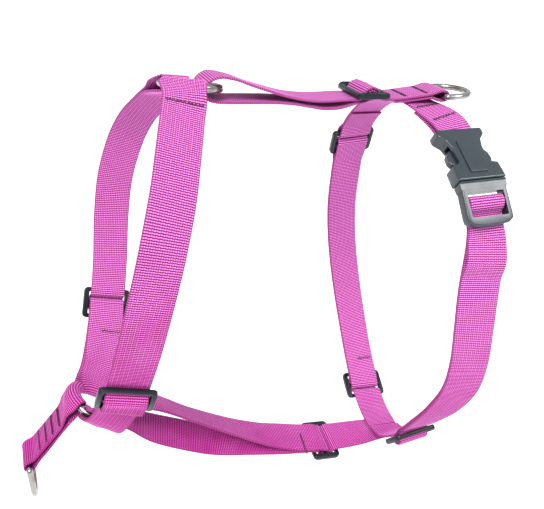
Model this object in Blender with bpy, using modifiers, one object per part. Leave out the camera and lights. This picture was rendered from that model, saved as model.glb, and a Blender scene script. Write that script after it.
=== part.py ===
"""Dog harness in 25 mm webbing: seven webbing pieces, two round rings, two D rings, seven three-bar
slides and one side-release buckle.

Frame: millimetres in this file, metres in the meshes. The dog's head is towards -X, its left side
towards -Y and up is +Z. The origin is in the middle of the flat run under the back strap.
"""
import math

import bmesh
import bpy
from mathutils import Matrix, Vector

MM = 0.001

# Webbing
WEB_WIDTH = 24.5
WEB_THICK = 1.5
GAP = 0.3
PLY = WEB_THICK + GAP
ACROSS = 4

# Round rings and D rings
RING_RADIUS = 16.5
RING_WIRE = 2.5
WRAP = RING_WIRE + GAP + WEB_THICK / 2 + 0.2
D_WIRE = 1.9
D_HALF_BAR = 14.8
D_WRAP = D_WIRE + GAP + WEB_THICK / 2

# Three-bar slide, along the webbing, across it and through it
SLIDE_LENGTH = 22.0
SLIDE_WIDTH = 33.0
SLIDE_THICK = 3.0
SLIDE_BAR = 3.0
CENTRE_BAR = 2.2
SLOT_WIDTH = 25.6
SLIDE_STAND_OFF = 2.7
BAR_WRAP = 2.7
JOINER_WRAP = 3.1
JOINER_BAR = SLIDE_LENGTH / 2 - SLIDE_BAR / 2

# Side-release buckle, lengths measured from the end of the socket
SOCKET_LENGTH = 37.0
SOCKET_HALF_THICK = 4.8
CAVITY_HALF_THICK = 2.6
CAVITY_HALF_WIDTH = 13.2
CAVITY_START = 11.0
STRAP_BAR = 3.4
STRAP_BAR_WIDTH = 2.0
STRAP_WRAP = 2.4
PLUG_START = 37.4
PLUG_TILT = 19.0
PRONG_ROOT = 36.0
PRONG_OUT = 9.2

# Where the hardware sits
WITHERS_CENTRE = Vector((-34.0, 0.0, 8.0))
CHEST_CENTRE = Vector((-90.0, 0.0, -203.0))
BACK_D_BAR = Vector((128.0, 0.0, 6.0))
FRONT_D_BAR = Vector((-134.0, 0.0, -238.0))
SOCKET_END = Vector((122.8, -36.8, -11.0))
SOCKET_MOUTH = Vector((124.8, -67.2, -31.8))
SOCKET_ACROSS = Vector((1.0, 0.035, 0.045))

PINK = (0.80, 0.10, 0.55)
BLACK = (0.025, 0.028, 0.032)
STEEL = (0.62, 0.60, 0.58)


# ---------------------------------------------------------------- scene helpers

def clear_scene():
    """Remove whatever the new file came with."""
    for old in list(bpy.data.objects):
        bpy.data.objects.remove(old, do_unlink=True)


def collection(name):
    """A new collection linked to the scene."""
    group = bpy.data.collections.new(name)
    bpy.context.scene.collection.children.link(group)
    return group


def material(name, colour, roughness, metallic):
    """A Principled material."""
    made = bpy.data.materials.new(name)
    made.use_nodes = True
    shader = made.node_tree.nodes["Principled BSDF"]
    shader.inputs["Base Color"].default_value = (*colour, 1.0)
    shader.inputs["Roughness"].default_value = roughness
    shader.inputs["Metallic"].default_value = metallic
    return made


def finish_mesh(bm, name, group, look):
    """Turn a bmesh in millimetres into a named object in metres."""
    bmesh.ops.scale(bm, vec=(MM, MM, MM), verts=bm.verts)
    mesh = bpy.data.meshes.new(name)
    bm.to_mesh(mesh)
    bm.free()
    made = bpy.data.objects.new(name, mesh)
    group.objects.link(made)
    made.data.materials.append(look)
    return made


def place(made, origin, along, across):
    """Put an object's X on along, its Y on across and its origin at a point, all in millimetres."""
    x_axis = along.normalized()
    z_axis = x_axis.cross(across).normalized()
    y_axis = z_axis.cross(x_axis)
    turn = Matrix((x_axis, y_axis, z_axis)).transposed().to_4x4()
    made.matrix_world = Matrix.Translation(origin * MM) @ turn


def box(size, centre):
    """A box as a bmesh, size and centre in millimetres."""
    bm = bmesh.new()
    bmesh.ops.create_cube(bm, size=1.0)
    bmesh.ops.scale(bm, vec=size, verts=bm.verts)
    bmesh.ops.translate(bm, vec=centre, verts=bm.verts)
    return bm


def bevel(made, width, segments, angle=35.0):
    """Round the sharp edges of an object."""
    rounding = made.modifiers.new("rounding", 'BEVEL')
    rounding.width = width * MM
    rounding.segments = segments
    rounding.limit_method = 'ANGLE'
    rounding.angle_limit = math.radians(angle)


def cut(made, cutter):
    """Take a cutter out of an object."""
    cutter.hide_render = True
    cutter.display_type = 'WIRE'
    boolean = made.modifiers.new("cut", 'BOOLEAN')
    boolean.operation = 'DIFFERENCE'
    boolean.object = cutter


def join(made, other):
    """Add a hidden body to an object."""
    other.hide_render = True
    other.display_type = 'WIRE'
    boolean = made.modifiers.new("join", 'BOOLEAN')
    boolean.operation = 'UNION'
    boolean.object = other


# ---------------------------------------------------------------- webbing routes

def row_at(middle, across):
    """The points of one row across the webbing."""
    return [middle + across * WEB_WIDTH * (k / (ACROSS - 1) - 0.5) for k in range(ACROSS)]


class Route:
    """A smooth line through stations, with the direction across the webbing at each of them."""

    def __init__(self, stations):
        self.centres = [Vector(centre) for centre, _ in stations]
        self.widths = [Vector(across).normalized() for _, across in stations]
        self.stops = [0.0]
        for before, after in zip(self.centres, self.centres[1:]):
            self.stops.append(self.stops[-1] + (after - before).length)
        self.length = self.stops[-1]

    def spline(self, values, s):
        """Cubic Hermite value at distance s, with finite-difference slopes."""
        stops = self.stops
        k = 0
        while k < len(stops) - 2 and s > stops[k + 1]:
            k += 1
        span = stops[k + 1] - stops[k]
        t = (s - stops[k]) / span

        def slope(i):
            low, high = max(i - 1, 0), min(i + 1, len(stops) - 1)
            return (values[high] - values[low]) / (stops[high] - stops[low])

        rise = values[k + 1] - values[k]
        start, end = slope(k) * span, slope(k + 1) * span
        return (values[k] + start * t + (3 * rise - 2 * start - end) * t * t
                + (start + end - 2 * rise) * t * t * t)

    def frame(self, s):
        """Centre, direction, across and outward normal at distance s, straight on past the ends."""
        inside = min(max(s, 0.0), self.length)
        centre = self.spline(self.centres, inside)
        step = 0.5
        low, high = max(inside - step, 0.0), min(inside + step, self.length)
        along = (self.spline(self.centres, high) - self.spline(self.centres, low)).normalized()
        across = self.spline(self.widths, inside)
        across = (across - along * across.dot(along)).normalized()
        return centre + along * (s - inside), along, across, along.cross(across)

    def row(self, s, off=0.0):
        """The points across the webbing at distance s, lifted off the line by off."""
        centre, _, across, normal = self.frame(s)
        return row_at(centre + normal * off, across)


def steps(start, end, pitch):
    """Evenly spaced distances strictly between start and end."""
    count = max(int(round(abs(end - start) / pitch)), 1)
    return [start + (end - start) * k / count for k in range(1, count)]


def run(route, start, end, off_start, off_end, pitch=8.0):
    """Rows from start to end, the lift easing from one value to the other."""
    rows = []
    for s in [start] + steps(start, end, pitch) + [end]:
        t = (s - start) / (end - start)
        ease = t * t * (3 - 2 * t)
        rows.append(route.row(s, off_start + (off_end - off_start) * ease))
    return rows


# Lift of the webbing where it passes behind a slide's outer bars and over its centre bar
OVER_SLIDE = [(-8.2, 0.0), (-6.4, 0.7), (-5.2, 3.0), (-3.3, 5.9), (0.0, 7.2),
              (3.3, 5.9), (5.2, 3.0), (6.4, 0.7), (8.2, 0.0)]
# The same where it also stays in front of the second outer bar
OVER_TWO_BARS = [(-8.2, 0.0), (-6.4, 0.7), (-5.2, 3.0), (-3.3, 5.9), (0.0, 7.2),
                 (4.0, 6.3), (9.0, 6.1), (11.8, 6.0), (13.8, 2.8), (16.5, 0.0)]


def through_slide(route, at, lifts=OVER_SLIDE):
    """Rows of the webbing that weaves through a slide."""
    return [route.row(at + along, lift) for along, lift in lifts]


def end_on_bar(route, at, side=1):
    """Rows of the inner ply that comes back to a slide and is sewn round its centre bar."""
    rows = [route.row(at + side * along, lift)
            for along, lift in [(12.0, -PLY), (8.0, -PLY - 0.1), (4.8, -1.4), (2.6, -0.6)]]
    for degrees in (285, 250, 215, 180, 145, 110, 75, 40):
        angle = math.radians(degrees)
        rows.append(route.row(at + side * BAR_WRAP * math.cos(angle),
                              SLIDE_STAND_OFF + BAR_WRAP * math.sin(angle)))
    return rows


# Angles round a ring's wire, counted from straight outward: level with the ring, from below and above it
LEVEL = (90, 120, 150, 180, 210, 240, 270)
FROM_BELOW = (230, 200, 170, 140, 110, 80, 50)
FROM_ABOVE = (110, 140, 170, 200, 230, 260, 290)
# The same round a bar of the joiner
AROUND_BAR = (110, 75, 45, 15, -15, -45, -75, -110)


def round_ring(centre, axes, bearing, angles=LEVEL, radius=WRAP):
    """Rows that wrap a round ring's wire at a bearing, at angles counted from straight outward."""
    first, second, normal = axes
    rows = []
    for degrees in angles:
        angle = math.radians(degrees)
        row = []
        for k in range(ACROSS):
            turn = bearing + WEB_WIDTH * (k / (ACROSS - 1) - 0.5) / RING_RADIUS
            outward = first * math.cos(turn) + second * math.sin(turn)
            row.append(centre + outward * (RING_RADIUS + radius * math.cos(angle))
                       + normal * radius * math.sin(angle))
        rows.append(row)
    return rows


def round_bar(centre, along, across, normal, radius, angles=(90, 60, 30, 0, -30, -60, -90)):
    """Rows that wrap a straight bar, from above it, past its far side, to below it."""
    rows = []
    for degrees in angles:
        angle = math.radians(degrees)
        middle = centre + along * radius * math.cos(angle) + normal * radius * math.sin(angle)
        rows.append(row_at(middle, across))
    return rows


def webbing(name, rows, group):
    """One piece of webbing: a surface through the rows, thickened."""
    bm = bmesh.new()
    grid = [[bm.verts.new(point) for point in row] for row in rows]
    for before, after in zip(grid, grid[1:]):
        for k in range(ACROSS - 1):
            bm.faces.new((before[k], before[k + 1], after[k + 1], after[k]))
    made = finish_mesh(bm, name, group, material(name, PINK, 0.7, 0.0))
    thick = made.modifiers.new("thickness", 'SOLIDIFY')
    thick.thickness = WEB_THICK * MM
    thick.offset = 0.0
    thick.use_even_offset = False
    return made


# ---------------------------------------------------------------- rings and slides

def ring_axes(tilt_degrees, roll_degrees=0.0):
    """Rearward axis, left-right axis and upper normal of a round ring."""
    tilt = Matrix.Rotation(math.radians(tilt_degrees), 3, 'Y')
    turn = tilt @ Matrix.Rotation(math.radians(roll_degrees), 3, 'X')
    return tuple(turn @ Vector(axis) for axis in ((1, 0, 0), (0, 1, 0), (0, 0, 1)))


WITHERS_AXES = ring_axes(4.0, -8.0)
CHEST_AXES = ring_axes(31.0)


def round_ring_solid(name, centre, axes, group):
    """A round wire ring."""
    bpy.ops.mesh.primitive_torus_add(major_radius=RING_RADIUS * MM, minor_radius=RING_WIRE * MM,
                                     major_segments=32, minor_segments=8)
    made = bpy.context.object
    made.name = name
    made.data.name = name
    for owner in made.users_collection:
        owner.objects.unlink(made)
    group.objects.link(made)
    made.data.materials.append(material(name, STEEL, 0.25, 1.0))
    place(made, centre, axes[0], axes[1])
    made.data.shade_smooth()
    return made


def d_ring(name, bar, towards, reach, group):
    """A D ring: a straight bar along Y and a round bow that reaches out to one side."""
    out = towards.normalized()
    across = Vector((0, 1, 0))
    bow = []
    for k in range(17):
        angle = math.pi * k / 16 - math.pi / 2
        bow.append(out * (reach - D_HALF_BAR + D_HALF_BAR * math.cos(angle))
                   + across * D_HALF_BAR * math.sin(angle))
    corner = D_HALF_BAR - 1.2
    points = [across * -corner, across * -D_HALF_BAR + out * 1.6, *bow,
              across * D_HALF_BAR + out * 1.6, across * corner]
    curve = bpy.data.curves.new(name, 'CURVE')
    curve.dimensions = '3D'
    curve.bevel_depth = D_WIRE * MM
    curve.bevel_resolution = 2
    line = curve.splines.new('POLY')
    line.points.add(len(points) - 1)
    for point, where in zip(line.points, points):
        point.co = (*(where * MM), 1.0)
    line.use_cyclic_u = True
    made = bpy.data.objects.new(name, curve)
    made.location = bar * MM
    group.objects.link(made)
    curve.materials.append(material(name, STEEL, 0.25, 1.0))
    return made


def slide(name, route, at, group, cutters, off=SLIDE_STAND_OFF):
    """A three-bar slide on a route."""
    centre, along, across, normal = route.frame(at)
    origin = centre + normal * off
    made = finish_mesh(box((SLIDE_LENGTH, SLIDE_WIDTH, SLIDE_THICK), (0, 0, 0)), name, group,
                       material(name, BLACK, 0.4, 0.0))
    corner = made.modifiers.new("corners", 'BEVEL')
    corner.width = 3.2 * MM
    corner.segments = 3
    corner.limit_method = 'WEIGHT'
    weights = made.data.attributes.new("bevel_weight_edge", 'FLOAT', 'EDGE')
    for edge in made.data.edges:
        ends = [made.data.vertices[v].co for v in edge.vertices]
        upright = abs(ends[0].z - ends[1].z) > SLIDE_THICK * MM * 0.9
        weights.data[edge.index].value = 1.0 if upright else 0.0
    slot = (SLIDE_LENGTH / 2 - SLIDE_BAR) - CENTRE_BAR / 2
    middle = CENTRE_BAR / 2 + slot / 2
    for side in (-1, 1):
        cutter = finish_mesh(box((slot, SLOT_WIDTH, SLIDE_THICK * 3), (side * middle, 0, 0)),
                             f"{name}_slot_{'a' if side < 0 else 'b'}", cutters, made.data.materials[0])
        place(cutter, origin, along, across)
        cut(made, cutter)
    bevel(made, 0.45, 1, 60.0)
    place(made, origin, along, across)
    return made


# ---------------------------------------------------------------- lines that the webbing follows

NEAR_SHOULDER = Route([
    ((-42.3, -14.5, 11.4), (0.90, -0.42, -0.12)), ((-43, -24, 6), (0.95, -0.25, -0.18)),
    ((-46, -34, -1), (0.97, -0.10, -0.20)), ((-52, -53, -14), (0.97, -0.05, -0.22)),
    ((-58, -70, -31), (0.97, -0.05, -0.22)), ((-63, -80, -46), (0.97, -0.05, -0.22)),
    ((-67, -84, -63), (0.97, -0.05, -0.22)), ((-72, -83, -90), (0.97, -0.05, -0.22)),
    ((-76, -78, -116), (0.97, -0.05, -0.23)), ((-79, -69, -140), (0.97, -0.05, -0.25)),
    ((-81, -58, -161), (0.96, -0.06, -0.28)), ((-84, -43, -181), (0.92, -0.08, -0.40)),
    ((-88, -29, -197), (0.86, -0.09, -0.50)), ((-91, -17, -203.2), (0.86, 0, -0.51))])
NEAR_SHOULDER_SLIDE = 203.0

FAR_SHOULDER = Route([
    ((-42, 14, 7.5), (-0.90, -0.42, 0.10)), ((-42, 27, 1), (-0.95, -0.25, 0.16)),
    ((-46, 47, -11.5), (-0.95, -0.18, 0.22)), ((-52.5, 66, -28), (-0.97, -0.05, 0.20)),
    ((-58, 78, -47), (-0.98, 0.0, 0.15)), ((-64, 83, -74), (-0.98, 0.0, 0.15)),
    ((-67, 82, -103), (-0.98, 0.0, 0.15)), ((-69, 76, -135), (-0.98, 0.0, 0.15)),
    ((-73, 64, -162), (-0.98, 0.0, 0.18)), ((-78, 50, -183), (-0.96, 0.0, 0.28)),
    ((-84, 33, -198), (-0.90, 0.0, 0.42)), ((-91, 17, -203.2), (-0.86, 0, 0.51))])
FAR_SHOULDER_SLIDE = 209.0

FAR_GIRTH = Route([
    ((122.8, -37, -10.6), (-1, -0.03, -0.05)), ((120.5, -29, -5.6), (-0.99, -0.03, -0.07)),
    ((117.5, -20, -2), (-0.99, 0, -0.05)), ((114.5, -10, 0.2), (-1, 0, 0)),
    ((114, 0, 0.6), (-1, 0, 0)), ((113, 13, 0.2), (-1, 0, 0)), ((112.5, 31, -5), (-1, 0, 0)),
    ((112.5, 48, -13), (-1, 0, 0)), ((113, 64, -25), (-1, 0, -0.04)), ((114, 77, -41), (-1, 0, -0.05)),
    ((116.5, 86, -60), (-1, 0, -0.05)), ((118.5, 91, -82), (-1, 0, -0.05)),
    ((120, 93, -105), (-1, 0, -0.05)), ((123, 92.5, -130), (-1, 0, -0.05)),
    ((127, 89, -156), (-1, 0, -0.05)), ((132, 83, -184), (-1, 0, -0.05)),
    ((136, 75, -208), (-1, 0, -0.05)), ((138, 63, -229), (-1, 0, -0.05)),
    ((138.5, 49, -245), (-1, 0, -0.05)), ((138, 34, -255), (-1, 0, 0)),
    ((137, 18, -261), (-1, 0, 0)), ((136, 1, -263), (-1, 0, 0))])
JOINER = 141.0
FAR_GIRTH_SLIDE = 360.0

NEAR_GIRTH = Route([
    ((125.9, -73, -41), (1.0, 0.02, 0.06)), ((126.4, -79.6, -52), (0.99, -0.06, 0.09)),
    ((126.8, -83, -63), (0.97, -0.16, 0.12)), ((126.8, -84.6, -74), (0.95, -0.24, 0.13)),
    ((127, -85.2, -86), (0.94, -0.30, 0.13)), ((128, -85.4, -100), (0.93, -0.34, 0.12)),
    ((131, -85, -122), (0.93, -0.34, 0.12)), ((135, -83.5, -150), (0.93, -0.32, 0.12)),
    ((137, -78.5, -174), (0.94, -0.30, 0.14)), ((135, -69, -196), (0.94, -0.26, 0.20)),
    ((131.5, -58, -214), (0.95, -0.20, 0.26)), ((130, -46, -230), (0.95, -0.12, 0.28)),
    ((131, -31, -245), (0.97, -0.05, 0.20)), ((134, -15, -257), (0.99, 0.0, 0.08)),
    ((136, -1, -262), (1, 0, 0))])
NEAR_GIRTH_SLIDE = 207.0

BACK_UPPER = Route([
    ((128, 0, 8.9), (0, -1, 0)), ((118, 0, 6.8), (0, -1, 0)), ((108, 0, 5.4), (0, -1, 0)),
    ((98, 0, 4.1), (0, -1, 0)), ((88, 0, 3.5), (0, -1, 0)), ((76, 0, 3.4), (0, -1, 0)),
    ((62, 0, 3.0), (0, -1, 0)), ((42, 0, 2.0), (0, -1, 0)), ((26, 0, 3.4), (0, -1, 0.03)),
    ((12, 0, 6.6), (0, -1, 0.05)), ((0, 0, 9.9), (0, -1, 0.06)), ((-10, 0, 13.1), (0, -1, 0.06)),
    ((-18, 0, 14.5), (0, -1, 0.04))])
BACK_SLIDE = 52.0

BELLY_LOWER = Route([
    ((148, 0, -265.2), (0, 1, 0)), ((130, 0, -265.2), (0, 1, 0)), ((112, -1, -265), (0, 0.98, 0.15)),
    ((96, -2, -264), (0, 0.97, 0.22)), ((80, -3, -262.5), (0, 0.96, 0.26)),
    ((62, -3, -260.5), (0, 0.95, 0.28)), ((45, -3, -258), (0, 0.94, 0.30)),
    ((19, -3, -252.5), (0, 0.92, 0.34)), ((-8, -3, -246), (0, 0.90, 0.40)),
    ((-32, -2, -236.5), (0, 0.90, 0.42)), ((-52, -1, -227), (0, 0.94, 0.32)),
    ((-66, 0, -217.5), (0, 0.99, 0.12)), ((-75.5, 0, -211.5), (0, 1, 0))])
BELLY_SLIDE = 68.0

BELLY_UPPER = Route([
    ((-75.5, 0, -211.5), (0, 1, 0)), ((-64, 0, -204.5), (0, 1, 0)), ((-50, -1, -208), (0, 0.99, -0.12)),
    ((-25, -2, -222), (0, 0.98, -0.18)), ((6, -3, -238), (0, 0.99, -0.08)),
    ((31, -3, -249.5), (0, 0.99, 0.10)), ((48, -3, -255), (0, 0.96, 0.24))])

TAB = Route([
    ((-104, 0, -195), (0, -1, 0)), ((-108.5, 0, -204), (0, -1, 0)), ((-116, 0, -214), (0, -1, 0)),
    ((-124, 0, -225), (0, -1, 0)), ((-134, 0, -238), (0, -1, 0))])


# ---------------------------------------------------------------- webbing pieces

def shoulder_strap(name, route, bearing, chest_bearing, slide_at, lifts, group):
    """Sewn round the withers ring, through its slide, round the chest ring and back to the slide."""
    end = route.length
    after = slide_at + lifts[-1][0]
    rows = run(route, 24.0, 8.0, -PLY, -PLY - 2.2)
    rows += round_ring(WITHERS_CENTRE, WITHERS_AXES, bearing, FROM_BELOW)
    rows += run(route, 8.0, 20.0, 2.0, 0.0)
    rows += run(route, 20.0, slide_at - 14.0, 0.0, 0.0)[1:]
    rows += through_slide(route, slide_at, lifts)
    rows += run(route, after + 2.0, end - 7.0, 0.0, 2.4)
    rows += reversed(round_ring(CHEST_CENTRE, CHEST_AXES, chest_bearing, FROM_ABOVE))
    rows += run(route, end - 7.0, slide_at + 13.0, -PLY - 2.4, -PLY)
    rows += end_on_bar(route, slide_at)
    return webbing(name, rows, group)


def back_strap(group):
    """From the D ring through the back slide to the withers ring, loosely round it and back."""
    across = Vector((0, -1, 0))
    rows = run(BACK_UPPER, 36.0, 11.0, -PLY, -PLY - 0.2)
    rows += reversed(round_bar(BACK_D_BAR, Vector((1, 0, 0)), across, Vector((0, 0, 1)), D_WRAP))
    rows += run(BACK_UPPER, 11.0, BACK_SLIDE - 14.0, 0.0, 0.0)
    rows += through_slide(BACK_UPPER, BACK_SLIDE)
    rows += run(BACK_UPPER, BACK_SLIDE + 14.0, BACK_UPPER.length, 0.0, 0.0)
    loop = [(-23.5, 13.7), (-27.2, 11.2), (-29.2, 7.8), (-28.6, 4.6), (-26.0, 2.3), (-21.5, 1.0),
            (-16.0, 0.75), (0.0, 0.75), (16.0, 0.75), (26.0, 0.2), (36.0, -1.2), (46.0, -2.6), (55.0, -2.2)]
    rows += [row_at(Vector((x, 0, z)), across) for x, z in loop]
    rows += end_on_bar(BACK_UPPER, BACK_SLIDE)[1:]
    return webbing("back_strap", rows, group)


def girth_top_strap(group):
    """From the bar of the buckle socket, under the back strap, to the upper bar of the far joiner."""
    bar = socket_point(STRAP_BAR, 0, 0)
    along, across, normal = socket_axes()
    rows = run(FAR_GIRTH, 26.0, 5.0, -PLY, -PLY - 0.4)
    wrap = round_bar(bar, along, -across, normal, STRAP_WRAP, angles=(120, 90, 60, 30, 0, -30, -60, -90))
    rows += reversed(wrap)
    rows += run(FAR_GIRTH, 5.0, 24.0, 1.4, 0.0)
    before = JOINER - JOINER_BAR - 10.0
    rows += run(FAR_GIRTH, 24.0, before, 0.0, 0.0)[1:]
    rows += loop_on_bar(-JOINER_BAR, 1)
    rows += run(FAR_GIRTH, before, before - 16.0, -PLY, -PLY)
    return webbing("girth_top_strap", rows, group)


def loop_on_bar(bar, side):
    """Rows round a bar of the joiner, from the outer ply to the inner ply, past its far side."""
    centre, along, across, normal = FAR_GIRTH.frame(JOINER)
    centre = centre + along * bar - normal * PLY / 2
    return round_bar(centre, along * side, across, normal, JOINER_WRAP, AROUND_BAR)


def joiner_row(along_by, lift):
    """A row of the webbing at a place on the joiner, lifted off the joiner's plane."""
    centre, along, across, normal = FAR_GIRTH.frame(JOINER)
    return row_at(centre + along * along_by + normal * (lift - PLY / 2), across)


def far_girth_strap(group):
    """From the middle bar of the joiner down through its slide to the belly, with its second ply."""
    after = JOINER + JOINER_BAR + 10.0
    rows = list(reversed(end_on_bar(FAR_GIRTH, FAR_GIRTH_SLIDE, -1)))
    rows += run(FAR_GIRTH, FAR_GIRTH_SLIDE - 20.0, after, -PLY, -PLY)
    rows += [joiner_row(JOINER_BAR + 3.0, -2.9), joiner_row(JOINER_BAR - 3.0, -2.9)]
    rows += reversed(loop_on_bar(0.0, -1))
    rows += [joiner_row(JOINER_BAR - 3.0, 2.9), joiner_row(JOINER_BAR + 3.0, 2.7)]
    rows += run(FAR_GIRTH, after, FAR_GIRTH_SLIDE - 14.0, 0.0, 0.0)
    rows += through_slide(FAR_GIRTH, FAR_GIRTH_SLIDE)
    rows += run(FAR_GIRTH, FAR_GIRTH_SLIDE + 14.0, FAR_GIRTH.length, 0.0, 0.0)
    return webbing("far_girth_strap", rows, group)


def near_girth_strap(group):
    """From the middle bar of the buckle plug down through its slide to the belly, with its second ply."""
    bar = plug_point(10.6, 0)
    along, across, normal = plug_axes()
    rows = list(reversed(end_on_bar(NEAR_GIRTH, NEAR_GIRTH_SLIDE, -1)))
    rows += run(NEAR_GIRTH, NEAR_GIRTH_SLIDE - 20.0, 24.0, -PLY, -PLY)
    behind = [(21.5, -4.9), (17.0, -4.4)]
    front = [(14.6, 1.2), (16.4, -1.2), (18.6, -2.9), (21.5, -3.1)]
    wrap = [(13.0, -2.9), (10.6, -2.9), (8.6, -2.1), (7.7, 0.0), (8.6, 2.1), (10.6, 2.9), (12.8, 2.4)]
    rows += [row_at(plug_point(u, v), across) for u, v in behind + wrap + front]
    rows += run(NEAR_GIRTH, 24.0, NEAR_GIRTH_SLIDE - 14.0, 0.0, 0.0)
    rows += through_slide(NEAR_GIRTH, NEAR_GIRTH_SLIDE)
    rows += run(NEAR_GIRTH, NEAR_GIRTH_SLIDE + 14.0, NEAR_GIRTH.length, 0.0, 0.0)
    return webbing("near_girth_strap", rows, group)


def belly_strap(group):
    """Sewn under the girth, through its slide, forward round the chest ring and back to the slide."""
    end = BELLY_LOWER.length
    rows = run(BELLY_LOWER, 0.0, BELLY_SLIDE - 14.0, 0.0, 0.0)
    rows += through_slide(BELLY_LOWER, BELLY_SLIDE)
    rows += run(BELLY_LOWER, BELLY_SLIDE + 14.0, end - 7.0, 0.0, 2.6)
    rows += reversed(round_ring(CHEST_CENTRE, CHEST_AXES, 0.0))
    rows += run(BELLY_UPPER, 8.0, BELLY_UPPER.length, 0.0, 0.0)
    rows += end_on_bar(BELLY_LOWER, BELLY_SLIDE)
    return webbing("belly_strap", rows, group)


def front_tab(group):
    """A short doubled piece of webbing that hangs from the chest ring and holds the front D ring."""
    _, along, across, normal = TAB.frame(TAB.length)
    rows = run(TAB, 12.0, 8.0, -PLY - 0.6, -PLY - 1.6)
    rows += round_ring(CHEST_CENTRE, CHEST_AXES, math.pi, (180, 150, 120, 90, 60, 30, 0), 4.4)
    rows += run(TAB, 9.0, 18.0, 2.4, 0.0)
    rows += run(TAB, 18.0, TAB.length - 7.0, 0.0, 0.6)[1:]
    rows += round_bar(FRONT_D_BAR, along, across, normal, D_WRAP)
    rows += run(TAB, TAB.length - 7.0, 14.5, -PLY - 0.6, -PLY - 0.1)
    pivot = CHEST_CENTRE - CHEST_AXES[0] * RING_RADIUS
    made = webbing("front_leash_tab", [[point - pivot for point in row] for row in rows], group)
    made.location = pivot * MM
    return made


# ---------------------------------------------------------------- buckle

def socket_axes():
    """Along the socket to its mouth, across it, and out of its face."""
    along = (SOCKET_MOUTH - SOCKET_END).normalized()
    across = (SOCKET_ACROSS - along * SOCKET_ACROSS.dot(along)).normalized()
    return along, across, along.cross(across)


def socket_point(u, y, v):
    """A point in the buckle's own directions."""
    along, across, normal = socket_axes()
    return SOCKET_END + along * u + across * y + normal * v


def plug_axes():
    """The same for the frame of the plug, which is tilted to the curve of the body."""
    along, across, normal = socket_axes()
    turn = Matrix.Rotation(math.radians(PLUG_TILT), 3, across)
    return turn @ along, across, turn @ normal


def plug_point(u, v):
    """A point of the plug's frame, u from the socket's mouth and v out of its face."""
    along, _, normal = plug_axes()
    return socket_point(PLUG_START + 0.6, 0, 0) + along * u + normal * v


def plate(outline, thick):
    """A flat outline with thickness as a bmesh, in millimetres, centred on its plane."""
    curve = bpy.data.curves.new("outline", 'CURVE')
    curve.dimensions = '2D'
    curve.fill_mode = 'BOTH'
    curve.extrude = thick / 2
    line = curve.splines.new('POLY')
    line.points.add(len(outline) - 1)
    for point, (x, y) in zip(line.points, outline):
        point.co = (x, y, 0.0, 1.0)
    line.use_cyclic_u = True
    holder = bpy.data.objects.new("outline", curve)
    bpy.context.scene.collection.objects.link(holder)
    flat = bpy.data.meshes.new_from_object(holder.evaluated_get(bpy.context.evaluated_depsgraph_get()))
    bpy.data.objects.remove(holder, do_unlink=True)
    bm = bmesh.new()
    bm.from_mesh(flat)
    bpy.data.meshes.remove(flat)
    bmesh.ops.remove_doubles(bm, verts=bm.verts, dist=0.001)
    bmesh.ops.recalc_face_normals(bm, faces=bm.faces)
    return bm


def mirrored(half):
    """A closed outline from the points of its +Y half."""
    return half + [(x, -y) for x, y in reversed(half)]


def buckle_socket(group, cutters):
    """The female half: a hollow body with a waist, open at the sides and the mouth, over a strap bar."""
    look = material("buckle_socket", BLACK, 0.45, 0.0)
    along, across, _ = socket_axes()
    body = mirrored([(0.0, 16.4), (4.0, 16.2), (7.4, 15.2), (8.6, 12.4), (12.0, 11.0), (23.0, 10.4),
                     (25.2, 11.6), (26.0, 15.9), (37.0, 16.6)])
    made = finish_mesh(plate(body, 2 * SOCKET_HALF_THICK), "buckle_socket", group, look)
    hollows = {
        "socket_cavity": ((SOCKET_LENGTH + 4 - CAVITY_START, 2 * CAVITY_HALF_WIDTH, 2 * CAVITY_HALF_THICK),
                          ((SOCKET_LENGTH + 4 + CAVITY_START) / 2, 0, 0)),
        "socket_strap_space": ((9.4, SLOT_WIDTH, 10.0), (2.9, 0, -1.8)),
    }
    for name, (size, centre) in hollows.items():
        cutter = finish_mesh(box(size, centre), name, cutters, look)
        place(cutter, SOCKET_END, along, across)
        cut(made, cutter)
    bar = finish_mesh(box((STRAP_BAR_WIDTH, SLOT_WIDTH + 2.0, STRAP_BAR_WIDTH), (STRAP_BAR, 0, 0)),
                      "socket_strap_bar", cutters, look)
    place(bar, SOCKET_END, along, across)
    join(made, bar)
    bevel(made, 0.4, 1, 50.0)
    place(made, SOCKET_END, along, across)
    return made


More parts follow.
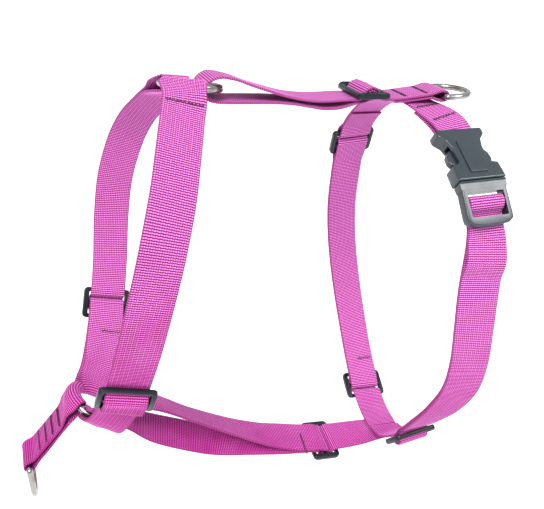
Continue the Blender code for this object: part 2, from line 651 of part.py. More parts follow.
def buckle_plug(group, cutters):
    """The male half without its prongs: base, guide tongue and the tilted strap frame with three bars."""
    look = material("buckle_plug", BLACK, 0.45, 0.0)
    along, across, _ = socket_axes()
    base = box((4.6, 32.4, 8.6), (PLUG_START + 2.3, 0, 0))
    made = finish_mesh(base, "buckle_plug", group, look)
    tongue = finish_mesh(box((PLUG_START - 14.0, 6.0, 4.4), ((PLUG_START + 16.0) / 2, 0, 0)),
                         "plug_tongue", cutters, look)
    place(tongue, SOCKET_END, along, across)
    join(made, tongue)
    tilted, _, _ = plug_axes()
    hinge = plug_point(0.0, 0.0)
    half = [(1.0, 15.6), (20.5, 16.0), (24.4, 15.0), (25.8, 8.6)]
    frame = finish_mesh(plate(mirrored(half), 6.4), "plug_frame", cutters, look)
    place(frame, hinge, tilted, across)
    join(made, frame)
    windows = {"plug_window_top": ((3.7, SLOT_WIDTH, 12.0), (7.3, 0, 0)),
               "plug_window_low": ((8.4, SLOT_WIDTH, 12.0), (16.1, 0, 0)),
               "plug_bar_front": ((5.6, SLOT_WIDTH, 4.0), (10.5, 0, 3.3)),
               "plug_bar_back": ((5.6, SLOT_WIDTH, 4.0), (10.5, 0, -3.3)),
               "plug_end_back": ((8.0, SLOT_WIDTH, 4.0), (23.6, 0, -3.4))}
    for name, (size, centre) in windows.items():
        cutter = finish_mesh(box(size, centre), name, cutters, look)
        place(cutter, hinge, tilted, across)
        cut(made, cutter)
    bevel(made, 0.5, 1, 50.0)
    place(made, SOCKET_END, along, across)
    return made


def prong(name, side, group):
    """A springy side prong of the plug with its press pad, with its origin on the line it bends about."""
    along, across, _ = socket_axes()
    outline = [(37.0, 7.6), (37.0, 10.8), (32.0, 11.2), (24.4, 11.5), (24.4, 14.2), (22.0, 15.0),
               (18.0, 14.8), (14.8, 13.2), (13.2, 10.6), (13.2, 8.4), (17.0, 7.8), (27.0, 7.9)]
    shifted = [(x - PRONG_ROOT, side * (y - PRONG_OUT)) for x, y in outline]
    made = finish_mesh(plate(shifted, 4.4), name, group, material(name, BLACK, 0.45, 0.0))
    bevel(made, 0.4, 1, 50.0)
    place(made, socket_point(PRONG_ROOT, side * PRONG_OUT, 0), along, across)
    return made


# ---------------------------------------------------------------- assembly

def build():
    """All the pieces of the harness."""
    clear_scene()
    parts = collection("dog_harness")
    cutters = collection("cutters")
    round_ring_solid("withers_ring", WITHERS_CENTRE, WITHERS_AXES, parts)
    round_ring_solid("chest_ring", CHEST_CENTRE, CHEST_AXES, parts)
    d_ring("back_leash_ring", BACK_D_BAR, Vector((1, 0, 0.06)), 22.0, parts)
    d_ring("front_leash_ring", FRONT_D_BAR, Vector((0.1, 0, -1)), 28.0, parts)
    third = math.radians(120)
    side = math.radians(90)
    shoulder_strap("near_shoulder_strap", NEAR_SHOULDER, -third, -side, NEAR_SHOULDER_SLIDE,
                   OVER_TWO_BARS, parts)
    shoulder_strap("far_shoulder_strap", FAR_SHOULDER, third, side, FAR_SHOULDER_SLIDE, OVER_SLIDE, parts)
    back_strap(parts)
    girth_top_strap(parts)
    far_girth_strap(parts)
    near_girth_strap(parts)
    belly_strap(parts)
    front_tab(parts)
    slide("near_shoulder_slide", NEAR_SHOULDER, NEAR_SHOULDER_SLIDE, parts, cutters)
    slide("far_shoulder_slide", FAR_SHOULDER, FAR_SHOULDER_SLIDE, parts, cutters)
    slide("back_slide", BACK_UPPER, BACK_SLIDE, parts, cutters)
    slide("far_girth_joiner", FAR_GIRTH, JOINER, parts, cutters, off=-PLY / 2)
    slide("far_girth_slide", FAR_GIRTH, FAR_GIRTH_SLIDE, parts, cutters)
    slide("near_girth_slide", NEAR_GIRTH, NEAR_GIRTH_SLIDE, parts, cutters)
    slide("belly_slide", BELLY_LOWER, BELLY_SLIDE, parts, cutters)
    buckle_socket(parts, cutters)
    buckle_plug(parts, cutters)
    prong("front_prong", -1, parts)
    prong("rear_prong", 1, parts)


build()
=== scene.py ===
"""Looks of the dog harness: woven webbing, stitching, moulded slides and buckle, nickel rings.

Lengths are in millimetres in this file and in metres in the meshes. The dog's head is towards -X, its
left side towards -Y and up is +Z. The webbing follows the lines of the CAD model's straps.
"""
import math

import bmesh
import bpy
import numpy as np
from mathutils import Matrix, Vector


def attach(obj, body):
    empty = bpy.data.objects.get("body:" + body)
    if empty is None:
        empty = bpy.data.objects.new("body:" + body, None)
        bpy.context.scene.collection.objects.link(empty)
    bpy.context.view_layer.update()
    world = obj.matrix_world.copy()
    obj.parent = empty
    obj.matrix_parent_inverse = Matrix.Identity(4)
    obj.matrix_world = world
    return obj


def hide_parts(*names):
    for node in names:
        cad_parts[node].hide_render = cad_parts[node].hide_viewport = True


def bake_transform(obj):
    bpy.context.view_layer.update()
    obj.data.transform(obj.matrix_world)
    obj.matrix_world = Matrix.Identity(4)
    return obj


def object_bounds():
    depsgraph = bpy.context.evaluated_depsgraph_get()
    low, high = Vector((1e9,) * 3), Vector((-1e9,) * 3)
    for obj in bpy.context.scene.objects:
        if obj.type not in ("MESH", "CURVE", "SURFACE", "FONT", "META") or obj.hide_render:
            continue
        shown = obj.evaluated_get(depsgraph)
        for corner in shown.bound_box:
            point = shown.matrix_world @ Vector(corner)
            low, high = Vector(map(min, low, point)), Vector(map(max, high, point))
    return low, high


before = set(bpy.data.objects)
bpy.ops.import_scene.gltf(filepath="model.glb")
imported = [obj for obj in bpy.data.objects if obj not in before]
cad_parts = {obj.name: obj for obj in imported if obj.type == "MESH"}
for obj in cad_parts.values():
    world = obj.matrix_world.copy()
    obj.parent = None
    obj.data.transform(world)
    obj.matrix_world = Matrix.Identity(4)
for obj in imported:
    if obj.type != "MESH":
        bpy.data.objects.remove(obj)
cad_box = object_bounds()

MM = 0.001

# Webbing
WEB_WIDTH = 24.5
WEB_THICK = 1.5
FACE = WEB_THICK / 2
GAP = 0.3
PLY = WEB_THICK + GAP
ROW_PITCH = 4.0
RIB_PITCH = 1.36
RIBS_FINE = 4
RIB_HEIGHT = 0.13
COLUMN_PITCH = 2.45
COLUMN_DEPTH = 0.04
ACROSS = 4
SIDES_FINE = 13
EDGE_STEPS = 3

# Rings
RING_RADIUS = 16.5
RING_WIRE = 2.5
RING_STEPS = 96
WELD_TURN = 0.9
WRAP = RING_WIRE + GAP + FACE + 0.2
D_WIRE = 1.9
D_HALF_BAR = 14.8
D_CORNER = 1.6
D_WRAP = D_WIRE + GAP + FACE
BEAD_RISE = 0.07
BEAD_SPAN = 1.2

# Slides
SLIDE_LENGTH = 22.0
SLIDE_WIDTH = 33.0
SLIDE_THICK = 3.0
SLIDE_BAR = 3.0
CENTRE_BAR = 2.2
SLOT_WIDTH = 25.6
SLIDE_CORNER = 3.4
SLIDE_EDGE = 0.8
RAIL_CROWN_FRONT = 1.4
RAIL_CROWN_BACK = 0.2
SLIDE_STAND_OFF = 2.7
# The webbing lies flat on its line again at this distance from the middle of a slide
SLIDE_CLEAR = 14.0
BAR_WRAP = 2.7
JOINER_WRAP = 3.1
JOINER_BAR = SLIDE_LENGTH / 2 - SLIDE_BAR / 2
JOINER_CLEAR = 10.0

# Buckle, lengths from the end of the socket
SOCKET_LENGTH = 37.0
SOCKET_HALF_THICK = 4.8
MOUTH_OVERRUN = 4
CAVITY_HALF_THICK = 2.6
CAVITY_HALF_WIDTH = 13.2
CAVITY_START = 11.0
STRAP_BAR = 3.4
STRAP_BAR_WIDTH = 2.0
STRAP_WRAP = 2.4
PLUG_START = 37.4
PLUG_BASE = 4.8
PLUG_HINGE = PLUG_START + 0.6
PLUG_TILT = 19.0
TONGUE_TIP = 16.0
PRONG_THICK = 4.4
PRONG_ROOT = 36.0
PRONG_SIDE = 9.2

# Where the hardware sits
WITHERS_CENTRE = Vector((-34.0, 0.0, 8.0))
CHEST_CENTRE = Vector((-90.0, 0.0, -203.0))
BACK_D_BAR = Vector((128.0, 0.0, 6.0))
FRONT_D_BAR = Vector((-134.0, 0.0, -238.0))
SOCKET_END = Vector((122.8, -36.8, -11.0))
SOCKET_MOUTH = Vector((124.8, -67.2, -31.8))
SOCKET_ACROSS = Vector((1.0, 0.035, 0.045))


# ---- object helpers

def add_object(name, data):
    """A new object in the scene."""
    made = bpy.data.objects.new(name, data)
    bpy.context.scene.collection.objects.link(made)
    return made


def poly_line(name, radius, count, resolution, material):
    """A curve of round section with capped ends, and its one line of count points."""
    curve = bpy.data.curves.new(name, 'CURVE')
    curve.dimensions = '3D'
    curve.bevel_depth = radius * MM
    curve.bevel_resolution = resolution
    curve.use_fill_caps = True
    curve.materials.append(material)
    line = curve.splines.new('POLY')
    line.points.add(count - 1)
    return curve, line


def face_outward(mesh, weld=0.0):
    """Turn a mesh's faces outward, its points first joined that lie closer than weld, in metres."""
    bm = bmesh.new()
    bm.from_mesh(mesh)
    if weld:
        bmesh.ops.remove_doubles(bm, verts=bm.verts, dist=weld)
    bmesh.ops.recalc_face_normals(bm, faces=bm.faces)
    bm.to_mesh(mesh)
    bm.free()


def evaluated_mesh(made):
    """A new mesh of an object with its curve or modifiers worked out."""
    return bpy.data.meshes.new_from_object(made.evaluated_get(bpy.context.evaluated_depsgraph_get()))


# ---- materials

def put(tree, socket, value):
    """Give a socket a colour, a number or a link."""
    if isinstance(value, tuple):
        socket.default_value = (*value, 1.0)
    elif isinstance(value, (int, float)):
        socket.default_value = value
    else:
        tree.links.new(value, socket)


class Nodes:
    """A material's node tree, with short calls for the nodes that this file uses."""

    def __init__(self, name):
        self.material = bpy.data.materials.new(name)
        self.material.use_nodes = True
        self.tree = self.material.node_tree
        self.shader = self.tree.nodes["Principled BSDF"]

    def add(self, kind, **settings):
        node = self.tree.nodes.new(kind)
        for key, value in settings.items():
            setattr(node, key, value)
        return node

    def link(self, source, target):
        self.tree.links.new(source, target)

    def math(self, operation, first, second=0.0, third=0.0):
        node = self.add("ShaderNodeMath", operation=operation)
        for socket, value in zip(node.inputs, (first, second, third)):
            put(self.tree, socket, value)
        return node.outputs[0]

    def range(self, value, low, high, to_low=0.0, to_high=1.0):
        node = self.add("ShaderNodeMapRange")
        self.link(value, node.inputs["Value"])
        for key, number in (("From Min", low), ("From Max", high), ("To Min", to_low), ("To Max", to_high)):
            node.inputs[key].default_value = number
        return node.outputs["Result"]

    def mix(self, factor, first, second):
        node = self.add("ShaderNodeMix", data_type='RGBA')
        for socket, value in ((node.inputs[0], factor), (node.inputs[6], first), (node.inputs[7], second)):
            put(self.tree, socket, value)
        return node.outputs[2]

    def position(self):
        return self.add("ShaderNodeNewGeometry").outputs["Position"]

    def noise(self, scale, detail=2.0, roughness=0.5):
        node = self.add("ShaderNodeTexNoise")
        node.inputs["Scale"].default_value = scale
        node.inputs["Detail"].default_value = detail
        node.inputs["Roughness"].default_value = roughness
        self.link(self.position(), node.inputs["Vector"])
        return node.outputs["Fac"]

    def bump(self, height, distance, strength=1.0):
        node = self.add("ShaderNodeBump")
        node.inputs["Distance"].default_value = distance
        node.inputs["Strength"].default_value = strength
        self.link(height, node.inputs["Height"])
        self.link(node.outputs["Normal"], self.shader.inputs["Normal"])

    def set(self, name, value):
        put(self.tree, self.shader.inputs[name], value)


# The ribs painted paler where lit at the top and deeper where shaded low down, the deeper fibres among
# them, and the gaps between them painted dark as shade
WEB_PAINTED_LIT = (1.0, 0.33, 0.95)
WEB_PAINTED_SHADED = (0.76, 0.055, 0.51)
WEB_MIDDLE = (0.62, 0.055, 0.40)
WEB_GAP_SHADE = (0.19, 0.001, 0.085)
# Painted light and shade: the ribs are painted paler towards the top and the dog's right and deeper low
# down, for light from above;
# metres along this direction where the painted shading starts and where it is full
PAINTED_SHADE_TOWARDS = (0.38, 1.0, 1.0)
PAINTED_SHADE_LOW = -0.29
PAINTED_SHADE_HIGH = -0.17
DYE_UNEVEN = 0.12
THREAD_BLACK = (0.007, 0.005, 0.009)
THREAD_PALE = (0.025, 0.018, 0.028)
BUCKLE_BLACK = (0.011, 0.019, 0.025)
SLIDE_BLACK = (0.006, 0.008, 0.012)
NICKEL = (0.36, 0.34, 0.315)
NICKEL_DULL = (0.16, 0.15, 0.135)


def webbing_material():
    """Nylon webbing: bright ribs with gaps painted dark as shade, broken into columns, its dye uneven, and
    painted shade that deepens the ribs low down with paler painted light towards the top.
    """
    n = Nodes("webbing")
    place = n.add("ShaderNodeUVMap", uv_map="weave")
    split = n.add("ShaderNodeSeparateXYZ")
    n.link(place.outputs["UV"], split.inputs[0])
    across, along = split.outputs[0], split.outputs[1]
    column = n.math('COSINE', n.math('MULTIPLY', across, 2 * math.pi / COLUMN_PITCH))
    shift = n.math('MULTIPLY', column, 0.05 * RIB_PITCH)
    rib = n.math('COSINE', n.math('MULTIPLY', n.math('ADD', along, shift), 2 * math.pi / RIB_PITCH))
    ribs = n.range(rib, -0.4, 0.8)
    weft = n.math('COSINE', n.math('MULTIPLY', across, 4 * math.pi / COLUMN_PITCH))
    dashes = n.range(weft, -0.9, 0.4, 0.25, 1.0)
    bright = n.math('MULTIPLY', ribs, dashes)
    dye = n.noise(55.0, 3.0)
    fibre = n.noise(2600.0, 2.0)
    # Painted light and shade by height: this slope deepens the rib colour low down at the front left and
    # paints it paler towards the top
    slope = n.add("ShaderNodeVectorMath", operation='DOT_PRODUCT')
    n.link(n.position(), slope.inputs[0])
    slope.inputs[1].default_value = PAINTED_SHADE_TOWARDS
    level = n.math('SUBTRACT', slope.outputs["Value"], DYE_UNEVEN / 2)
    uneven = n.math('MULTIPLY_ADD', dye, DYE_UNEVEN, level)
    light = n.mix(n.range(uneven, PAINTED_SHADE_LOW, PAINTED_SHADE_HIGH), WEB_PAINTED_SHADED, WEB_PAINTED_LIT)
    # The gaps between the ribs and columns are painted dark as shade
    colour = n.mix(bright, WEB_GAP_SHADE, n.mix(n.range(fibre, 0.3, 0.7, 0.0, 0.35), light, WEB_MIDDLE))
    n.set("Base Color", colour)
    n.set("Roughness", n.range(bright, 0.0, 1.0, 0.75, 0.52))
    n.set("Specular IOR Level", 0.3)
    n.set("Sheen Weight", 0.12)
    n.set("Sheen Roughness", 0.4)
    n.set("Sheen Tint", (1.0, 0.65, 0.95))
    n.bump(n.math('ADD', n.math('MULTIPLY', bright, 0.7), n.math('MULTIPLY', fibre, 0.3)), 0.00006, 0.7)
    return n.material


def thread_material():
    """Black bonded sewing thread with a twist."""
    n = Nodes("thread")
    twist = n.noise(3000.0, 1.0)
    n.set("Base Color", n.mix(twist, THREAD_BLACK, THREAD_PALE))
    n.set("Roughness", 0.6)
    n.bump(twist, 0.00005)
    return n.material


def plastic_material(name, black, specular):
    """Moulded black acetal: fine spark-eroded grain, and paler edges that are partly rubbing wear and
    partly a painted highlight.
    """
    n = Nodes(name)
    geometry = n.add("ShaderNodeNewGeometry")
    edge = n.range(geometry.outputs["Pointiness"], 0.52, 0.60)
    edge_wear_and_highlight = n.math('MULTIPLY', edge, n.range(n.noise(260.0, 3.0), 0.4, 0.6))
    grain = n.noise(5200.0, 2.0)
    cloud = n.noise(70.0, 3.0)
    base = n.mix(n.range(cloud, 0.3, 0.7, 0.0, 0.5), black, tuple(c * 1.35 for c in black))
    # Paler edges: partly rubbing wear, partly a painted highlight along the edges
    n.set("Base Color", n.mix(edge_wear_and_highlight, base, tuple(c * 2.6 for c in black)))
    n.set("Roughness", n.range(cloud, 0.3, 0.7, 0.27, 0.36))
    n.set("Specular IOR Level", specular)
    n.bump(grain, 0.00003, 0.4)
    return n.material


def nickel_material():
    """Nickel plate over welded wire: slightly uneven polish and faint dulling."""
    n = Nodes("nickel_plate")
    dull = n.noise(160.0, 4.0, 0.6)
    n.set("Base Color", n.mix(n.range(dull, 0.45, 0.72), NICKEL, NICKEL_DULL))
    n.set("Metallic", 1.0)
    n.set("Roughness", n.range(dull, 0.35, 0.75, 0.16, 0.34))
    n.bump(n.noise(900.0, 2.0), 0.00002, 0.4)
    return n.material


WEBBING = webbing_material()
THREAD = thread_material()
BUCKLE_PLASTIC = plastic_material("buckle_plastic", BUCKLE_BLACK, 0.75)
SLIDE_PLASTIC = plastic_material("slide_plastic", SLIDE_BLACK, 0.28)
NICKEL_PLATE = nickel_material()


# ---- lines that the webbing follows

class Route:
    """A smooth line through stations: each a place and the direction across the webbing there, or a
    place alone where the direction is still that of the station before."""

    def __init__(self, stations):
        self.centres, self.widths = [], []
        for station in stations:
            if isinstance(station[0], tuple):
                station, across = station
            self.centres.append(Vector(station))
            self.widths.append(Vector(across).normalized())
        self.stops = [0.0]
        for before, after in zip(self.centres, self.centres[1:]):
            self.stops.append(self.stops[-1] + (after - before).length)
        self.length = self.stops[-1]

    def spline(self, values, s):
        """Cubic Hermite value at distance s, with finite-difference slopes."""
        stops = self.stops
        k = 0
        while k < len(stops) - 2 and s > stops[k + 1]:
            k += 1
        span = stops[k + 1] - stops[k]
        t = (s - stops[k]) / span

        def slope(i):
            low, high = max(i - 1, 0), min(i + 1, len(stops) - 1)
            return (values[high] - values[low]) / (stops[high] - stops[low])

        rise = values[k + 1] - values[k]
        start, end = slope(k) * span, slope(k + 1) * span
        return (values[k] + start * t + (3 * rise - 2 * start - end) * t * t
                + (start + end - 2 * rise) * t * t * t)

    def frame(self, s):
        """Centre, direction, across and outward normal at distance s, straight on past the ends."""
        inside = min(max(s, 0.0), self.length)
        centre = self.spline(self.centres, inside)
        step = 0.5
        low, high = max(inside - step, 0.0), min(inside + step, self.length)
        along = (self.spline(self.centres, high) - self.spline(self.centres, low)).normalized()
        across = self.spline(self.widths, inside)
        across = (across - along * across.dot(along)).normalized()
        return centre + along * (s - inside), along, across, along.cross(across)

    def row(self, s, off=0.0):
        """The points across the webbing at distance s, lifted off the line by off."""
        centre, _, across, normal = self.frame(s)
        return row_at(centre + normal * off, across)

    def metres(self, s):
        """The place at distance s in metres, for the frame's calls."""
        return tuple(self.frame(s)[0] * MM)


def row_at(middle, across):
    """The points of one row across the webbing."""
    return [middle + across * WEB_WIDTH * (k / (ACROSS - 1) - 0.5) for k in range(ACROSS)]


def run(route, start, end, off_start=0.0, off_end=0.0):
    """Rows from start to end, evenly spaced, the lift easing from one value to the other."""
    count = max(int(round(abs(end - start) / ROW_PITCH)), 1)
    between = [start + (end - start) * k / count for k in range(1, count)]
    rows = []
    for s in [start] + between + [end]:
        t = (s - start) / (end - start)
        ease = t * t * (3 - 2 * t)
        rows.append(route.row(s, off_start + (off_end - off_start) * ease))
    return rows


# Lift of the webbing where it passes behind a slide's first bar and up over its centre bar, then down
# from there behind the second outer bar, or in front of that bar
ONTO_BAR = [(-8.2, 0.0), (-6.4, 0.7), (-5.2, 3.0), (-3.3, 5.9), (0.0, 7.2)]
OFF_BAR = [(0.0, 7.2), (3.3, 5.9), (5.2, 3.0), (6.4, 0.7), (8.2, 0.0)]
OFF_TWO_BARS = [(0.0, 7.2), (4.0, 6.3), (9.0, 6.1), (11.8, 6.0), (13.8, 2.8), (16.5, 0.0)]


def through_slide(route, at, lifts):
    """Rows of the webbing on one side of a slide's centre bar."""
    return [route.row(at + along, lift) for along, lift in lifts]


def end_on_bar(route, at, side=1):
    """Rows of the inner ply that comes back to a slide and is sewn round its centre bar."""
    rows = [route.row(at + side * along, lift)
            for along, lift in [(12.0, -PLY), (8.0, -PLY - 0.1), (4.8, -1.4), (2.6, -0.6)]]
    for degrees in (285, 250, 215, 180, 145, 110, 75, 40):
        angle = math.radians(degrees)
        rows.append(route.row(at + side * BAR_WRAP * math.cos(angle),
                              SLIDE_STAND_OFF + BAR_WRAP * math.sin(angle)))
    return rows


# Angles round a ring's wire, counted from straight outward: level with the ring, from below and above it
LEVEL = (90, 120, 150, 180, 210, 240, 270)
FROM_BELOW = (230, 200, 170, 140, 110, 80, 50)
FROM_ABOVE = (110, 140, 170, 200, 230, 260, 290)
# The same round a bar of the joiner
AROUND_BAR = (110, 75, 45, 15, -15, -45, -75, -110)


def round_ring(centre, axes, bearing, angles=LEVEL, radius=WRAP):
    """Rows that wrap a round ring's wire at a bearing."""
    first, second, normal = axes
    rows = []
    for degrees in angles:
        angle = math.radians(degrees)
        row = []
        for k in range(ACROSS):
            turn = bearing + WEB_WIDTH * (k / (ACROSS - 1) - 0.5) / RING_RADIUS
            outward = first * math.cos(turn) + second * math.sin(turn)
            row.append(centre + outward * (RING_RADIUS + radius * math.cos(angle))
                       + normal * radius * math.sin(angle))
        rows.append(row)
    return rows


def round_bar(centre, along, across, normal, radius, angles=(90, 60, 30, 0, -30, -60, -90)):
    """Rows that wrap a straight bar, from above it, past its far side, to below it."""
    rows = []
    for degrees in angles:
        angle = math.radians(degrees)
        middle = centre + along * radius * math.cos(angle) + normal * radius * math.sin(angle)
        rows.append(row_at(middle, across))
    return rows


def ring_axes(tilt_degrees, roll_degrees=0.0):
    """Rearward axis, left-right axis and upper normal of a round ring."""
    tilt = Matrix.Rotation(math.radians(tilt_degrees), 3, 'Y')
    turn = tilt @ Matrix.Rotation(math.radians(roll_degrees), 3, 'X')
    return tuple(turn @ Vector(axis) for axis in ((1, 0, 0), (0, 1, 0), (0, 0, 1)))


WITHERS_AXES = ring_axes(4.0, -8.0)
CHEST_AXES = ring_axes(31.0)

NEAR_SHOULDER = Route([
    ((-42.3, -14.5, 11.4), (0.90, -0.42, -0.12)), ((-43, -24, 6), (0.95, -0.25, -0.18)),
    ((-46, -34, -1), (0.97, -0.10, -0.20)), ((-52, -53, -14), (0.97, -0.05, -0.22)), (-58, -70, -31),
    (-63, -80, -46), (-67, -84, -63), (-72, -83, -90), ((-76, -78, -116), (0.97, -0.05, -0.23)),
    ((-79, -69, -140), (0.97, -0.05, -0.25)), ((-81, -58, -161), (0.96, -0.06, -0.28)),
    ((-84, -43, -181), (0.92, -0.08, -0.40)), ((-88, -29, -197), (0.86, -0.09, -0.50)),
    ((-91, -17, -203.2), (0.86, 0, -0.51))])
NEAR_SHOULDER_SLIDE = 203.0

FAR_SHOULDER = Route([
    ((-42, 14, 7.5), (-0.90, -0.42, 0.10)), ((-42, 27, 1), (-0.95, -0.25, 0.16)),
    ((-46, 47, -11.5), (-0.95, -0.18, 0.22)), ((-52.5, 66, -28), (-0.97, -0.05, 0.20)),
    ((-58, 78, -47), (-0.98, 0.0, 0.15)), (-64, 83, -74), (-67, 82, -103), (-69, 76, -135),
    ((-73, 64, -162), (-0.98, 0.0, 0.18)), ((-78, 50, -183), (-0.96, 0.0, 0.28)),
    ((-84, 33, -198), (-0.90, 0.0, 0.42)), ((-91, 17, -203.2), (-0.86, 0, 0.51))])
FAR_SHOULDER_SLIDE = 209.0

FAR_GIRTH = Route([
    ((122.8, -37, -10.6), (-1, -0.03, -0.05)), ((120.5, -29, -5.6), (-0.99, -0.03, -0.07)),
    ((117.5, -20, -2), (-0.99, 0, -0.05)), ((114.5, -10, 0.2), (-1, 0, 0)), (114, 0, 0.6), (113, 13, 0.2),
    (112.5, 31, -5), (112.5, 48, -13), ((113, 64, -25), (-1, 0, -0.04)), ((114, 77, -41), (-1, 0, -0.05)),
    (116.5, 86, -60), (118.5, 91, -82), (120, 93, -105), (123, 92.5, -130), (127, 89, -156),
    (132, 83, -184), (136, 75, -208), (138, 63, -229), (138.5, 49, -245), ((138, 34, -255), (-1, 0, 0)),
    (137, 18, -261), (136, 1, -263)])
JOINER = 141.0
FAR_GIRTH_SLIDE = 360.0

NEAR_GIRTH = Route([
    ((125.9, -73, -41), (1.0, 0.02, 0.06)), ((126.4, -79.6, -52), (0.99, -0.06, 0.09)),
    ((126.8, -83, -63), (0.97, -0.16, 0.12)), ((126.8, -84.6, -74), (0.95, -0.24, 0.13)),
    ((127, -85.2, -86), (0.94, -0.30, 0.13)), ((128, -85.4, -100), (0.93, -0.34, 0.12)), (131, -85, -122),
    ((135, -83.5, -150), (0.93, -0.32, 0.12)), ((137, -78.5, -174), (0.94, -0.30, 0.14)),
    ((135, -69, -196), (0.94, -0.26, 0.20)), ((131.5, -58, -214), (0.95, -0.20, 0.26)),
    ((130, -46, -230), (0.95, -0.12, 0.28)), ((131, -31, -245), (0.97, -0.05, 0.20)),
    ((134, -15, -257), (0.99, 0.0, 0.08)), ((136, -1, -262), (1, 0, 0))])
NEAR_GIRTH_SLIDE = 207.0
NEAR_GIRTH_SPLIT = 120.0

BACK_UPPER = Route([
    ((128, 0, 8.9), (0, -1, 0)), (118, 0, 6.8), (108, 0, 5.4), (98, 0, 4.1), (88, 0, 3.5), (76, 0, 3.4),
    (62, 0, 3.0), (42, 0, 2.0), ((26, 0, 3.4), (0, -1, 0.03)), ((12, 0, 6.6), (0, -1, 0.05)),
    ((0, 0, 9.9), (0, -1, 0.06)), (-10, 0, 13.1), ((-18, 0, 14.5), (0, -1, 0.04))])
BACK_SLIDE = 52.0

BELLY_LOWER = Route([
    ((148, 0, -265.2), (0, 1, 0)), (130, 0, -265.2), ((112, -1, -265), (0, 0.98, 0.15)),
    ((96, -2, -264), (0, 0.97, 0.22)), ((80, -3, -262.5), (0, 0.96, 0.26)),
    ((62, -3, -260.5), (0, 0.95, 0.28)), ((45, -3, -258), (0, 0.94, 0.30)),
    ((19, -3, -252.5), (0, 0.92, 0.34)), ((-8, -3, -246), (0, 0.90, 0.40)),
    ((-32, -2, -236.5), (0, 0.90, 0.42)), ((-52, -1, -227), (0, 0.94, 0.32)),
    ((-66, 0, -217.5), (0, 0.99, 0.12)), ((-75.5, 0, -211.5), (0, 1, 0))])
BELLY_SLIDE = 68.0

BELLY_UPPER = Route([
    ((-75.5, 0, -211.5), (0, 1, 0)), (-64, 0, -204.5), ((-50, -1, -208), (0, 0.99, -0.12)),
    ((-25, -2, -222), (0, 0.98, -0.18)), ((6, -3, -238), (0, 0.99, -0.08)),
    ((31, -3, -249.5), (0, 0.99, 0.10)), ((48, -3, -255), (0, 0.96, 0.24))])

TAB = Route([
    ((-104, 0, -195), (0, -1, 0)), (-108.5, 0, -204), (-116, 0, -214), (-124, 0, -225), (-134, 0, -238)])


# ---- woven surface

def fine_rows(rows):
    """Distances along a strap a quarter of a rib apart, and its rows there, from its coarse rows."""
    points = np.array([[tuple(p) for p in row] for row in rows])
    middle = points.mean(axis=1)
    spans = np.linalg.norm(np.diff(middle, axis=0), axis=1)
    stops = np.concatenate([[0.0], np.cumsum(spans)])
    wide = spans[:, None, None]
    slopes = np.diff(points, axis=0) / wide
    tangents = np.empty_like(points)
    tangents[0], tangents[-1] = slopes[0], slopes[-1]
    tangents[1:-1] = (slopes[:-1] * wide[1:] + slopes[1:] * wide[:-1]) / (wide[1:] + wide[:-1])
    along = np.linspace(0.0, stops[-1], int(stops[-1] / RIB_PITCH * RIBS_FINE) + 1)
    k = np.clip(np.searchsorted(stops, along, side='right') - 1, 0, len(spans) - 1)
    t = ((along - stops[k]) / spans[k])[:, None, None]
    span = wide[k]
    rise = points[k + 1] - points[k]
    start, end = tangents[k] * span, tangents[k + 1] * span
    return along, (points[k] + start * t + (3 * rise - 2 * start - end) * t ** 2
                   + (start + end - 2 * rise) * t ** 3)


def across_weights(places):
    """How much each of a row's four points counts at places from 0 to 1 across it."""
    knots = np.arange(ACROSS) / (ACROSS - 1)
    columns = []
    for j, knot in enumerate(knots):
        others = np.delete(knots, j)
        columns.append(np.prod([(places - other) / (knot - other) for other in others], axis=0))
    return np.stack(columns, axis=1)


def section():
    """The loop round the webbing's section: place across it, side (1 face, -1 back), edge turn."""
    inset = FACE / WEB_WIDTH
    places = np.linspace(inset, 1 - inset, SIDES_FINE)
    turns = np.linspace(0, math.pi, EDGE_STEPS + 2)[1:-1]
    loop = [(place, 1.0, None) for place in places]
    loop += [(1 - inset, math.cos(turn), math.sin(turn)) for turn in turns]
    loop += [(place, -1.0, None) for place in reversed(places)]
    loop += [(inset, -math.cos(turn), -math.sin(turn)) for turn in turns]
    return loop


def unit(vectors):
    """Vectors at length one."""
    return vectors / np.maximum(np.linalg.norm(vectors, axis=-1, keepdims=True), 1e-9)


